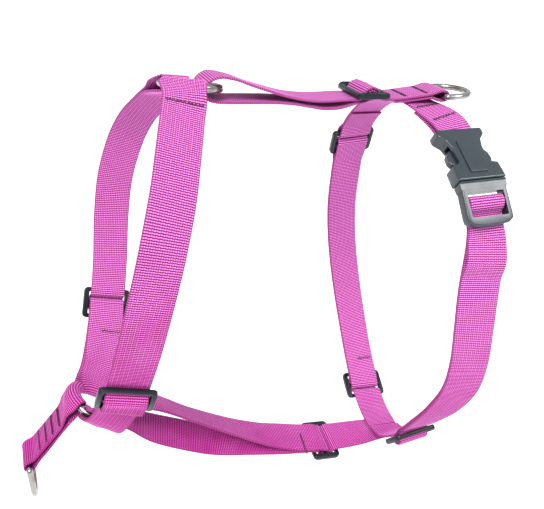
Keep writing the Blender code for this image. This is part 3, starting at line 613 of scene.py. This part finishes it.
def strap(name, rows, nodes=()):
    """A closed, ribbed piece of woven webbing through rows. It stands for the CAD nodes named."""
    along, fine = fine_rows(rows)
    loop = section()
    places = np.array([place for place, _, _ in loop])
    surface = np.einsum('up,mpc->muc', across_weights(places), fine)
    width = fine[:, -1] - fine[:, 0]
    forward = unit(np.gradient(surface, axis=0))
    side = unit(width)[:, None, :]
    outward = unit(np.cross(forward, side))
    facing = np.array([lift for _, lift, _ in loop])
    edge = np.array([turn or 0.0 for _, _, turn in loop])
    rib = RIB_HEIGHT * np.cos(2 * math.pi * along / RIB_PITCH)
    column = COLUMN_DEPTH * np.cos(2 * math.pi * places * WEB_WIDTH / COLUMN_PITCH)
    thick = FACE - RIB_HEIGHT * 0.6 + rib[:, None] + column[None, :] * (edge == 0)[None, :]
    wavy = FACE + 0.5 * rib[:, None]
    points = surface + outward * (facing * thick)[..., None] + side * (edge * wavy)[..., None]
    rings, around = points.shape[:2]
    faces = []
    pairs = [(j, (j + 1) % around) for j in range(around)]
    for m in range(rings - 1):
        low, high = m * around, (m + 1) * around
        faces += [(low + j, low + after, high + after, high + j) for j, after in pairs]
    faces.append(tuple(reversed(range(around))))
    faces.append(tuple(range((rings - 1) * around, rings * around)))
    mesh = bpy.data.meshes.new(name)
    mesh.from_pydata((points.reshape(-1, 3) * MM).tolist(), [], faces)
    weave = np.empty((rings, around, 2))
    weave[..., 0] = places * WEB_WIDTH
    weave[..., 1] = along[:, None]
    corners = np.empty(len(mesh.loops), dtype=np.int32)
    mesh.loops.foreach_get("vertex_index", corners)
    layer = mesh.uv_layers.new(name="weave")
    layer.data.foreach_set("uv", weave.reshape(-1, 2)[corners].astype(np.float32).ravel())
    mesh.shade_smooth()
    face_outward(mesh)
    made = add_object(name, mesh)
    mesh.materials.append(WEBBING)
    if nodes:
        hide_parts(*nodes)
    return made


def follow(piece, route, start, end):
    """Bake the piece's placement into its mesh; the places at start and end on the route are worked out but
    not used.
    """
    route.metres(start)
    route.metres(end)
    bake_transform(piece)


STITCH_PITCH = 2.0
STITCH_REACH = 0.62
THREAD_RADIUS = 0.38
THREAD_PROUD = 0.15


def stitch_row(name, route, at, lift, body, width, seed, shift=0.0):
    """A bar of black zigzag stitches across the webbing. A lift under zero puts it inside."""
    centre, along, across, normal = route.frame(at)
    count = int(width / STITCH_PITCH) * 2
    uneven = np.random.default_rng(seed).uniform(-0.2, 0.2, (count + 1, 2))
    curve, line = poly_line(name, THREAD_RADIUS, count + 1, 2, THREAD)
    height = lift + math.copysign(THREAD_PROUD, lift)
    for k, point in enumerate(line.points):
        place = centre + across * (width * (k / count - 0.5) + shift + uneven[k, 0])
        place += along * (STITCH_REACH * (1 if k % 2 else -1) + uneven[k, 1]) + normal * height
        point.co = (*(place * MM), 1.0)
    made = add_object(name, curve)
    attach(made, body)


# ---- straps

def shoulder_straps():
    """Both shoulder straps, each in two pieces that meet inside its slide."""
    third, side = math.radians(120), math.radians(90)
    for who, route, bearing, chest_bearing, at, lifts in (
            ("near", NEAR_SHOULDER, -third, -side, NEAR_SHOULDER_SLIDE, OFF_TWO_BARS),
            ("far", FAR_SHOULDER, third, side, FAR_SHOULDER_SLIDE, OFF_BAR)):
        end = route.length
        upper = run(route, 24.0, 8.0, -PLY, -PLY - 2.2)
        upper += round_ring(WITHERS_CENTRE, WITHERS_AXES, bearing, FROM_BELOW)
        upper += run(route, 8.0, 20.0, 2.0, 0.0)
        upper += run(route, 20.0, at - SLIDE_CLEAR)[1:]
        upper += through_slide(route, at, ONTO_BAR)
        piece = strap(f"{who}_shoulder_webbing", upper, [f"{who}_shoulder_strap"])
        follow(piece, route, at - 70.0, at - 12.0)
        lower = through_slide(route, at, lifts)
        lower += run(route, at + lifts[-1][0] + 2.0, end - 7.0, 0.0, 2.4)
        lower += reversed(round_ring(CHEST_CENTRE, CHEST_AXES, chest_bearing, FROM_ABOVE))
        lower += run(route, end - 7.0, at + 13.0, -PLY - 2.4, -PLY)
        lower += end_on_bar(route, at)
        piece = strap(f"{who}_shoulder_return", lower)
        follow(piece, route, end - 6.0, at + 14.0)


def back_straps():
    """The back strap: the sewn end at the D ring, and the long loop to the withers ring."""
    route, at = BACK_UPPER, BACK_SLIDE
    across = Vector((0, -1, 0))
    aft = run(route, 36.0, 11.0, -PLY, -PLY - 0.2)
    aft += reversed(round_bar(BACK_D_BAR, Vector((1, 0, 0)), across, Vector((0, 0, 1)), D_WRAP))
    aft += run(route, 11.0, at - SLIDE_CLEAR)
    aft += through_slide(route, at, ONTO_BAR)
    piece = strap("back_webbing_aft", aft, ["back_strap"])
    follow(piece, route, 16.0, at - 12.0)
    # X and Z round the front of the loop and back along its lower ply
    loop = [(-23.5, 13.7), (-27.2, 11.2), (-29.2, 7.8), (-28.6, 4.6), (-26.0, 2.3), (-21.5, 1.0),
            (-16.0, 0.75), (0.0, 0.75), (16.0, 0.75), (26.0, 0.2), (36.0, -1.2), (46.0, -2.6), (55.0, -2.2)]
    fore = through_slide(route, at, OFF_BAR)
    fore += run(route, at + SLIDE_CLEAR, route.length)
    fore += [row_at(Vector((x, 0, z)), across) for x, z in loop]
    fore += end_on_bar(route, at)[1:]
    piece = strap("back_webbing_loop", fore)
    follow(piece, route, at + 60.0, at + 13.0)


def loop_on_bar(bar, side):
    """Rows round a bar of the joiner, from the outer ply to the inner ply, past its far side."""
    centre, along, across, normal = FAR_GIRTH.frame(JOINER)
    centre = centre + along * bar - normal * PLY / 2
    return round_bar(centre, along * side, across, normal, JOINER_WRAP, AROUND_BAR)


def joiner_row(along_by, lift):
    """A row of the webbing at a place on the joiner, lifted off the joiner's plane."""
    centre, along, across, normal = FAR_GIRTH.frame(JOINER)
    return row_at(centre + along * along_by + normal * (lift - PLY / 2), across)


def girth_top():
    """The short strap between the buckle socket and the joiner."""
    along, across, normal = socket_axes()
    rows = run(FAR_GIRTH, 26.0, 5.0, -PLY, -PLY - 0.4)
    rows += reversed(round_bar(socket_point(STRAP_BAR, 0, 0), along, -across, normal, STRAP_WRAP,
                               angles=(120, 90, 60, 30, 0, -30, -60, -90)))
    rows += run(FAR_GIRTH, 5.0, 24.0, 1.4, 0.0)
    before = JOINER - JOINER_BAR - JOINER_CLEAR
    rows += run(FAR_GIRTH, 24.0, before)[1:]
    rows += loop_on_bar(-JOINER_BAR, 1)
    rows += run(FAR_GIRTH, before, before - 16.0, -PLY, -PLY)
    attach(strap("girth_top_webbing", rows, ["girth_top_strap"]), "harness")


def far_girth():
    """The far girth strap, in two pieces that meet inside its slide."""
    route, at = FAR_GIRTH, FAR_GIRTH_SLIDE
    after = JOINER + JOINER_BAR + JOINER_CLEAR
    rows = list(reversed(end_on_bar(route, at, -1)))
    rows += run(route, at - 20.0, after, -PLY, -PLY)
    rows += [joiner_row(JOINER_BAR + 3.0, -2.9), joiner_row(JOINER_BAR - 3.0, -2.9)]
    rows += reversed(loop_on_bar(0.0, -1))
    rows += [joiner_row(JOINER_BAR - 3.0, 2.9), joiner_row(JOINER_BAR + 3.0, 2.7)]
    rows += run(route, after, at - SLIDE_CLEAR)
    rows += through_slide(route, at, ONTO_BAR)
    piece = strap("far_girth_webbing", rows, ["far_girth_strap"])
    follow(piece, route, at - 60.0, at - 13.0)
    rows = through_slide(route, at, OFF_BAR)
    rows += run(route, at + 12.0, route.length)
    piece = strap("far_girth_end", rows)
    follow(piece, route, route.length - 2.0, at + 9.0)


# Distance and lift of the outer ply where it stands off the inner one below the plug
KINK = [(24.0, 0.1), (27.5, 1.1), (31.0, 2.5), (34.5, 3.5), (37.5, 3.6), (40.5, 2.8), (43.5, 1.4),
        (46.5, 0.4), (50.0, 0.0)]


def near_girth():
    """The near girth strap, in three pieces: at the plug, down to its slide, and on to the belly."""
    route, at, split = NEAR_GIRTH, NEAR_GIRTH_SLIDE, NEAR_GIRTH_SPLIT
    _, across, _ = plug_axes()
    # Distance from the hinge and lift, in the directions of the plug
    behind = [(21.5, -4.9), (17.0, -4.4)]
    wrap = [(13.0, -2.9), (10.6, -2.9), (8.6, -2.1), (7.7, 0.0), (8.6, 2.1), (10.6, 2.9), (12.8, 2.4)]
    front = [(14.6, 1.2), (16.4, -1.2), (18.6, -2.9), (21.5, -3.1)]
    rows = run(route, split, KINK[0][0], -PLY, -PLY)
    rows += [row_at(plug_point(u, v), across) for u, v in behind + wrap + front]
    rows += [route.row(s, lift) for s, lift in KINK]
    rows += run(route, KINK[-1][0] + ROW_PITCH, split)
    piece = strap("near_girth_at_buckle", rows, ["near_girth_strap"])
    follow(piece, route, 110.0, 4.0)
    rows = list(reversed(end_on_bar(route, at, -1)))
    rows += run(route, at - 20.0, split, -PLY, -PLY)
    inner = strap("near_girth_inner_ply", rows)
    follow(inner, route, at - 60.0, at - 13.0)
    rows = run(route, split, at - SLIDE_CLEAR)
    rows += through_slide(route, at, ONTO_BAR)
    outer = strap("near_girth_webbing", rows)
    follow(outer, route, at - 60.0, at - 13.0)
    rows = through_slide(route, at, OFF_BAR)
    rows += run(route, at + SLIDE_CLEAR, route.length)
    piece = strap("near_girth_end", rows)
    follow(piece, route, route.length - 4.0, at + 12.0)


def belly():
    """The belly strap: its sewn end under the girth, and the loop round the chest ring."""
    route, at = BELLY_LOWER, BELLY_SLIDE
    rows = run(route, 0.0, at - SLIDE_CLEAR)
    rows += through_slide(route, at, ONTO_BAR)
    piece = strap("belly_webbing_aft", rows, ["belly_strap"])
    follow(piece, route, at - 42.0, at - 12.0)
    rows = through_slide(route, at, OFF_BAR)
    rows += run(route, at + SLIDE_CLEAR, route.length - 7.0, 0.0, 2.6)
    rows += reversed(round_ring(CHEST_CENTRE, CHEST_AXES, 0.0))
    rows += run(BELLY_UPPER, 8.0, BELLY_UPPER.length)
    rows += end_on_bar(route, at)
    piece = strap("belly_webbing_loop", rows)
    follow(piece, route, at + 62.0, at + 13.0)


def front_tab():
    """The doubled tab under the chest ring, its loop round the ring and its end round the front D ring's
    bar.
    """
    _, along, across, normal = TAB.frame(TAB.length)
    rows = run(TAB, 12.0, 8.0, -PLY - 0.6, -PLY - 1.6)
    rows += round_ring(CHEST_CENTRE, CHEST_AXES, math.pi, (180, 150, 120, 90, 60, 30, 0), 4.4)
    rows += run(TAB, 9.0, 18.0, 2.4, 0.0)
    rows += run(TAB, 18.0, TAB.length - 7.0, 0.0, 0.6)[1:]
    rows += round_bar(FRONT_D_BAR, along, across, normal, D_WRAP)
    rows += run(TAB, TAB.length - 7.0, 12.7, -PLY - 0.6, -PLY - 0.6)
    piece = strap("front_tab_webbing", rows, ["front_leash_tab"])
    follow(piece, TAB, 2.0, 14.0)


def stitching():
    """Black bar tacks at the sewn joints: outside at the rings and buckle, inside near the slides."""
    inside = -PLY - FACE
    stitch_row("near_shoulder_stitch", NEAR_SHOULDER, 15.0, FACE + 0.76, "harness", 20.0, 1)
    stitch_row("far_shoulder_stitch", FAR_SHOULDER, FAR_SHOULDER_SLIDE + 20.0, inside - 0.15,
               "far_shoulder_slide", 13.0, 2, -4.0)
    for k, s in enumerate((12.0, 27.0)):
        stitch_row(f"back_stitch_{k}", BACK_UPPER, s, FACE, "harness", 19.0, 3 + k)
    for k, (s, lift) in enumerate(((12.5, 0.92), (27.0, 0.0))):
        stitch_row(f"girth_stub_stitch_{k}", FAR_GIRTH, s, FACE + lift, "harness", 19.0, 5 + k)
    stitch_row("far_girth_stitch", FAR_GIRTH, FAR_GIRTH_SLIDE - 21.0, inside,
               "far_girth_slide", 12.0, 7, -4.0)
    stitch_row("belly_stitch", BELLY_LOWER, BELLY_SLIDE + 18.0, inside - 0.3, "belly_slide", 18.0, 8, -6.0)
    for k, s in enumerate((18.0, 25.0, 32.0, 39.0)):
        stitch_row(f"front_tab_stitch_{k}", TAB, s, FACE + 0.3, "front_leash_tab", 20.0, 9 + k)


# ---- metal

def place(made, origin, along, across):
    """Put an object's X on along, its Y on across and its origin at a point, all in millimetres."""
    x_axis = along.normalized()
    z_axis = x_axis.cross(across).normalized()
    y_axis = z_axis.cross(x_axis)
    turn = Matrix((x_axis, y_axis, z_axis)).transposed().to_4x4()
    made.matrix_world = Matrix.Translation(origin * MM) @ turn


def wire(node, points, radius, body):
    """A closed loop of round wire through points in millimetres, with a weld bead at its first point."""
    curve, line = poly_line(f"{node}_wire", radius, len(points), 6, NICKEL_PLATE)
    for k, (point, where) in enumerate(zip(line.points, points)):
        point.co = (*(where * MM), 1.0)
        near = min(k, len(points) - k)
        point.radius = 1.0 + BEAD_RISE * math.exp(-(near / BEAD_SPAN) ** 2)
    line.use_cyclic_u = True
    made = add_object(f"{node}_wire", curve)
    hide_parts(node)
    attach(made, body)


def rings():
    """The two round rings and the two D rings."""
    for node, centre, axes in (("withers_ring", WITHERS_CENTRE, WITHERS_AXES),
                               ("chest_ring", CHEST_CENTRE, CHEST_AXES)):
        points = []
        for k in range(RING_STEPS):
            angle = 2 * math.pi * k / RING_STEPS + WELD_TURN
            points.append(centre + (axes[0] * math.cos(angle) + axes[1] * math.sin(angle)) * RING_RADIUS)
        wire(node, points, RING_WIRE, "harness")
    for node, bar, towards, reach in (("back_leash_ring", BACK_D_BAR, Vector((1, 0, 0.06)), 22.0),
                                      ("front_leash_ring", FRONT_D_BAR, Vector((0.1, 0, -1)), 28.0)):
        wire(node, d_points(bar, towards, reach), D_WIRE, node)


def d_points(bar, towards, reach):
    """Points round a D ring: a straight bar along Y, small corners and a round bow."""
    out, across = towards.normalized(), Vector((0, 1, 0))
    straight = D_HALF_BAR - D_CORNER

    def corner(side, degrees):
        angle = math.radians(degrees)
        return (bar + across * side * (straight + D_CORNER * math.sin(angle))
                + out * D_CORNER * (1 - math.cos(angle)))

    turns = (22.5, 45, 67.5, 90)
    points = [bar + across * y for y in np.linspace(0.0, straight, 8)]
    points += [corner(1, degrees) for degrees in turns]
    bow_centre = reach - D_HALF_BAR
    for k in range(RING_STEPS // 2 + 1):
        angle = math.pi * k / (RING_STEPS // 2)
        points.append(bar + across * D_HALF_BAR * math.cos(angle)
                      + out * (bow_centre + D_HALF_BAR * math.sin(angle)))
    points += [corner(-1, degrees) for degrees in reversed(turns)]
    points += [bar - across * y for y in np.linspace(straight, 0.0, 8)[:-1]]
    return points


# ---- plastic

# Edges sharper than these angles stay sharp, on a plate and after a cut
PLATE_SHARP = 40.0
CARVED_SHARP = 35.0


def rounded(corners, radius, count=6):
    """A closed outline through corners, each rounded; radius may be one number or one for each corner."""
    if isinstance(radius, (int, float)):
        radius = [radius] * len(corners)
    outline = []
    for k, corner in enumerate(corners):
        here = Vector(corner)
        before = Vector(corners[k - 1]) - here
        after = Vector(corners[(k + 1) % len(corners)]) - here
        if radius[k] <= 0:
            outline.append(here)
            continue
        half = before.angle(after) / 2
        reach = min(radius[k] / math.tan(half), before.length * 0.49, after.length * 0.49)
        first, last = here + before.normalized() * reach, here + after.normalized() * reach
        for j in range(count + 1):
            t = j / count
            outline.append(first * (1 - t) ** 2 + here * 2 * t * (1 - t) + last * t ** 2)
    return outline


def moulding(name, outlines, thick, edge, plastic=BUCKLE_PLASTIC):
    """A flat moulded plate as a mesh object: the first outline less the others, with rounded edges."""
    curve = bpy.data.curves.new(name, 'CURVE')
    curve.dimensions = '2D'
    curve.fill_mode = 'BOTH'
    curve.extrude = (thick / 2 - edge) * MM
    curve.bevel_depth = edge * MM
    curve.bevel_resolution = 3
    curve.offset = -edge * MM
    for outline in outlines:
        line = curve.splines.new('POLY')
        line.points.add(len(outline) - 1)
        for point, where in zip(line.points, outline):
            point.co = (where[0] * MM, where[1] * MM, 0.0, 1.0)
        line.use_cyclic_u = True
    holder = add_object("outline", curve)
    mesh = evaluated_mesh(holder)
    bpy.data.objects.remove(holder, do_unlink=True)
    mesh.name = name
    face_outward(mesh, weld=1e-6)
    made = add_object(name, mesh)
    mesh.materials.clear()
    mesh.materials.append(plastic)
    mesh.shade_smooth()
    mesh.set_sharp_from_angle(angle=math.radians(PLATE_SHARP))
    return made


def box_outline(x0, x1, half, radius):
    """A rounded rectangle that reaches half to each side."""
    return rounded([(x0, -half), (x1, -half), (x1, half), (x0, half)], radius)


def slide_moulding(node, route, at, body, off=SLIDE_STAND_OFF):
    """A three-bar slide: two slots, a slim centre bar and thicker, crowned side rails."""
    half_x, half_y = SLIDE_LENGTH / 2, SLIDE_WIDTH / 2
    slot_start, slot_end, slot_y = CENTRE_BAR / 2, half_x - SLIDE_BAR, SLOT_WIDTH / 2
    outlines = [box_outline(-half_x, half_x, half_y, SLIDE_CORNER),
                box_outline(slot_start, slot_end, slot_y, SLIDE_EDGE),
                box_outline(-slot_end, -slot_start, slot_y, SLIDE_EDGE)]
    made = moulding(f"{node}_moulding", outlines, SLIDE_THICK, SLIDE_EDGE, SLIDE_PLASTIC)
    for vertex in made.data.vertices:
        out = (abs(vertex.co.y) / MM - slot_y) / (half_y - slot_y)
        rail = max(0.0, min(1.0, out * 2.0))
        crown = 1.0 - (vertex.co.x / MM / half_x) ** 2
        vertex.co.z *= 1.0 + (RAIL_CROWN_FRONT if vertex.co.z > 0 else RAIL_CROWN_BACK) * rail * crown
    centre, along, across, normal = route.frame(at)
    place(made, centre + normal * off, along, across)
    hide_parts(node)
    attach(made, body)


def slides():
    """All the slides and the joiner."""
    for node, route, at in (
            ("near_shoulder_slide", NEAR_SHOULDER, NEAR_SHOULDER_SLIDE),
            ("far_shoulder_slide", FAR_SHOULDER, FAR_SHOULDER_SLIDE),
            ("back_slide", BACK_UPPER, BACK_SLIDE), ("far_girth_slide", FAR_GIRTH, FAR_GIRTH_SLIDE),
            ("near_girth_slide", NEAR_GIRTH, NEAR_GIRTH_SLIDE), ("belly_slide", BELLY_LOWER, BELLY_SLIDE)):
        slide_moulding(node, route, at, node)
    slide_moulding("far_girth_joiner", FAR_GIRTH, JOINER, "harness", off=-PLY / 2)


def socket_axes():
    """Along the socket to its mouth, across it, and out of its face."""
    along = (SOCKET_MOUTH - SOCKET_END).normalized()
    across = (SOCKET_ACROSS - along * SOCKET_ACROSS.dot(along)).normalized()
    return along, across, along.cross(across)


def socket_point(u, y, v):
    """A point in the buckle's own directions."""
    along, across, normal = socket_axes()
    return SOCKET_END + along * u + across * y + normal * v


def plug_axes():
    """The same for the frame of the plug, which is tilted to the curve of the body."""
    along, across, normal = socket_axes()
    turn = Matrix.Rotation(math.radians(PLUG_TILT), 3, across)
    return turn @ along, across, turn @ normal


def plug_point(u, v):
    """A point of the plug's frame, u from the socket's mouth and v out of its face."""
    along, _, normal = plug_axes()
    return socket_point(PLUG_HINGE, 0, 0) + along * u + normal * v


def mirrored(half):
    """A closed outline from the points of its +Y half."""
    return half + [(x, -y) for x, y in reversed(half)]


def cutter_box(size, centre, origin, along, across):
    """A box that is taken out of a moulding, in the moulding's own directions."""
    bm = bmesh.new()
    bmesh.ops.create_cube(bm, size=1.0)
    bmesh.ops.scale(bm, vec=Vector(size) * MM, verts=bm.verts)
    bmesh.ops.translate(bm, vec=Vector(centre) * MM, verts=bm.verts)
    mesh = bpy.data.meshes.new("cutter")
    bm.to_mesh(mesh)
    bm.free()
    made = add_object("cutter", mesh)
    place(made, origin, along, across)
    return made


def carve(made, other, operation='DIFFERENCE'):
    """Cut another object out of a moulding, or join it, for good."""
    boolean = made.modifiers.new("carve", 'BOOLEAN')
    boolean.operation = operation
    boolean.object = other
    bpy.context.view_layer.update()
    result = evaluated_mesh(made)
    made.modifiers.clear()
    old = made.data
    made.data = result
    bpy.data.meshes.remove(old)
    bpy.data.objects.remove(other, do_unlink=True)


def smooth(made):
    """Smooth shading, sharp edges kept, and one material on a carved moulding."""
    made.data.materials.clear()
    made.data.materials.append(BUCKLE_PLASTIC)
    made.data.shade_smooth()
    made.data.set_sharp_from_angle(angle=math.radians(CARVED_SHARP))


def socket_moulding():
    """The buckle's socket: a waisted shell with flared ends, its hollow, strap bar and raised panel."""
    along, across, normal = socket_axes()
    half = [(0.0, 16.2), (4.6, 16.4), (8.6, 12.3), (14.0, 10.7), (23.4, 10.2), (25.4, 11.8),
            (26.2, 16.0), (SOCKET_LENGTH, 16.7)]
    corner = [1.6, 3.0, 3.0, 9.0, 4.0, 1.2, 0.9, 0.8]
    body = moulding("buckle_socket_moulding", [rounded(mirrored(half), corner + corner[::-1])],
                    2 * SOCKET_HALF_THICK, 0.9)
    place(body, SOCKET_END, along, across)
    past = SOCKET_LENGTH + MOUTH_OVERRUN
    for size, centre in (((past - CAVITY_START, 2 * CAVITY_HALF_WIDTH, 2 * CAVITY_HALF_THICK),
                          ((past + CAVITY_START) / 2, 0, 0)),
                         ((9.4, SLOT_WIDTH, 10.0), (2.9, 0, -1.8))):
        carve(body, cutter_box(size, centre, SOCKET_END, along, across))
    thin, reach = STRAP_BAR_WIDTH / 2, SLOT_WIDTH / 2 + 1
    bar = moulding("strap_bar", [box_outline(STRAP_BAR - thin, STRAP_BAR + thin, reach, 0.4)],
                   STRAP_BAR_WIDTH, 0.4)
    place(bar, SOCKET_END, along, across)
    carve(body, bar, 'UNION')
    smooth(body)
    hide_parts("buckle_socket")
    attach(body, "harness")
    panel = moulding("socket_panel", [box_outline(9.1, 32.4, 6.4, 1.4)], 1.5, 0.35)
    place(panel, SOCKET_END + normal * (SOCKET_HALF_THICK + 0.05), along, across)
    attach(panel, "harness")


def plug_moulding():
    """The plug: base, guide tongue and the tilted strap frame with its bars and rounded end."""
    along, across, _ = socket_axes()
    tilted, _, _ = plug_axes()
    hinge = plug_point(0.0, 0.0)
    block = box_outline(PLUG_START, PLUG_START + PLUG_BASE, 16.2, 0.9)
    base = moulding("buckle_plug_moulding", [block], 8.6, 0.8)
    place(base, SOCKET_END, along, across)
    tip, root = TONGUE_TIP, PLUG_START + 1.0
    outline = rounded([(tip, -2.6), (root, -3.0), (root, 3.0), (tip, 2.6)], 1.4)
    tongue = moulding("tongue", [outline], PRONG_THICK, 0.5)
    place(tongue, SOCKET_END, along, across)
    carve(base, tongue, 'UNION')
    # The block's face is levelled with the frame's, then the frame is joined and its slots are cut
    carve(base, cutter_box((14.0, 36.0, 6.0), (6.35, 0, 6.28), hinge, tilted, across))
    half = [(0.6, 15.6), (19.5, 16.0), (22.6, 15.6), (24.8, 12.6), (25.8, 6.0)]
    ring = moulding("frame", [mirrored(half)], 6.4, 1.1)
    place(ring, hinge, tilted, across)
    carve(base, ring, 'UNION')
    for long, thick, u, v in ((3.7, 12.0, 7.3, 0.0), (8.4, 12.0, 16.1, 0.0), (5.6, 4.0, 10.5, 3.3),
                              (5.6, 4.0, 10.5, -3.3), (8.0, 4.0, 23.6, -3.4)):
        carve(base, cutter_box((long, SLOT_WIDTH, thick), (u, 0, v), hinge, tilted, across))
    smooth(base)
    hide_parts("buckle_plug")
    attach(base, "buckle_plug")


def prong_mouldings():
    """The two side prongs with their rounded press pads."""
    along, across, _ = socket_axes()
    for name, side in (("front_prong", -1), ("rear_prong", 1)):
        corners = [(37.0, 7.6), (37.0, 10.8), (32.0, 11.2), (24.4, 11.5), (24.4, 14.2), (21.8, 15.2),
                   (17.6, 14.8), (14.4, 12.6), (13.2, 8.4), (17.0, 7.8), (27.0, 7.9)]
        shifted = [(x - PRONG_ROOT, side * (y - PRONG_SIDE)) for x, y in corners]
        outline = rounded(shifted, [0.0, 0.0, 2.0, 0.5, 0.8, 1.8, 1.8, 1.4, 0.8, 2.0, 3.0], 4)
        made = moulding(f"{name}_moulding", [outline], PRONG_THICK, 0.6)
        place(made, socket_point(PRONG_ROOT, side * PRONG_SIDE, 0), along, across)
        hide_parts(name)
        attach(made, name)


# ---- floor, light and camera

CAMERA_PLACE = Vector((-134.2, -393.2, 92.4))
CAMERA_RIGHT = Vector((0.9371, -0.3381, 0.0869))
CAMERA_FORWARD = Vector((0.3424, 0.8419, -0.4171))
FOCAL_WIDTHS = 707 / 544
SENSOR = 36.0
FLOOR_DROP = 0.25
KEY_FROM = (-0.55, -0.75, 1.0)
KEY_SPREAD = 25.0
SOFTBOX_FROM = (0.62, -0.50, 0.52)
SOFTBOX_AIM = (0.12, -0.08, -0.04)


def camera():
    """The camera at the photograph's viewing angle."""
    lens = bpy.data.cameras.new("camera")
    lens.sensor_width = SENSOR
    lens.lens = SENSOR * FOCAL_WIDTHS
    lens.clip_start, lens.clip_end = 0.01, 20.0
    made = add_object("camera", lens)
    back = -CAMERA_FORWARD.normalized()
    right = (CAMERA_RIGHT - back * CAMERA_RIGHT.dot(back)).normalized()
    turn = Matrix((right, back.cross(right), back)).transposed().to_4x4()
    made.matrix_world = Matrix.Translation(CAMERA_PLACE * MM) @ turn
    bpy.context.scene.camera = made


def floor():
    """A plain pale floor under the harness."""
    low = cad_box[0].z - FLOOR_DROP
    bpy.ops.mesh.primitive_plane_add(size=30.0, location=(0, 0, low))
    made = bpy.context.object
    made.name = "floor"
    n = Nodes("floor")
    n.set("Base Color", (0.86, 0.86, 0.86))
    n.set("Roughness", 0.9)
    n.set("Specular IOR Level", 0.0)
    n.set("Emission Color", (1.0, 1.0, 1.0))
    n.set("Emission Strength", 0.24)
    made.data.materials.append(n.material)


def aimed(data, where, aim=(0.0, 0.0, 0.0)):
    """Put a light at a point in metres, looking at another."""
    made = add_object(data.name, data)
    made.location = where
    made.rotation_mode = 'QUATERNION'
    made.rotation_quaternion = (Vector(aim) - Vector(where)).to_track_quat('-Z', 'Y')


def surround():
    """The studio round the harness: white overhead, a little darker towards the horizon."""
    world = bpy.data.worlds.new("studio")
    bpy.context.scene.world = world
    world.use_nodes = True
    tree = world.node_tree
    shade = tree.nodes["Background"]
    split = tree.nodes.new("ShaderNodeSeparateXYZ")
    tree.links.new(tree.nodes.new("ShaderNodeTexCoord").outputs["Generated"], split.inputs[0])
    ramp = tree.nodes.new("ShaderNodeMapRange")
    tree.links.new(split.outputs[2], ramp.inputs["Value"])
    for key, number in (("From Min", 0.0), ("From Max", 0.45), ("To Min", 0.55), ("To Max", 0.92)):
        ramp.inputs[key].default_value = number
    tree.links.new(ramp.outputs["Result"], shade.inputs["Strength"])
    shade.inputs["Color"].default_value = (0.90, 0.97, 1.0, 1.0)


def lights():
    """A warm sun from upper left, a softbox at upper right and the pale surround."""
    surround()
    key = bpy.data.lights.new("key", 'SUN')
    key.energy = 3.2
    key.color = (1.0, 0.965, 0.93)
    key.angle = math.radians(KEY_SPREAD)
    aimed(key, KEY_FROM)
    softbox = bpy.data.lights.new("softbox", 'AREA')
    softbox.energy = 2.9
    softbox.size = 0.28
    aimed(softbox, SOFTBOX_FROM, SOFTBOX_AIM)
    bpy.context.scene.view_settings.view_transform = 'Standard'


camera()
floor()
lights()
shoulder_straps()
back_straps()
girth_top()
far_girth()
near_girth()
belly()
front_tab()
stitching()
rings()
slides()
socket_moulding()
plug_moulding()
prong_mouldings()

bpy.context.view_layer.update()
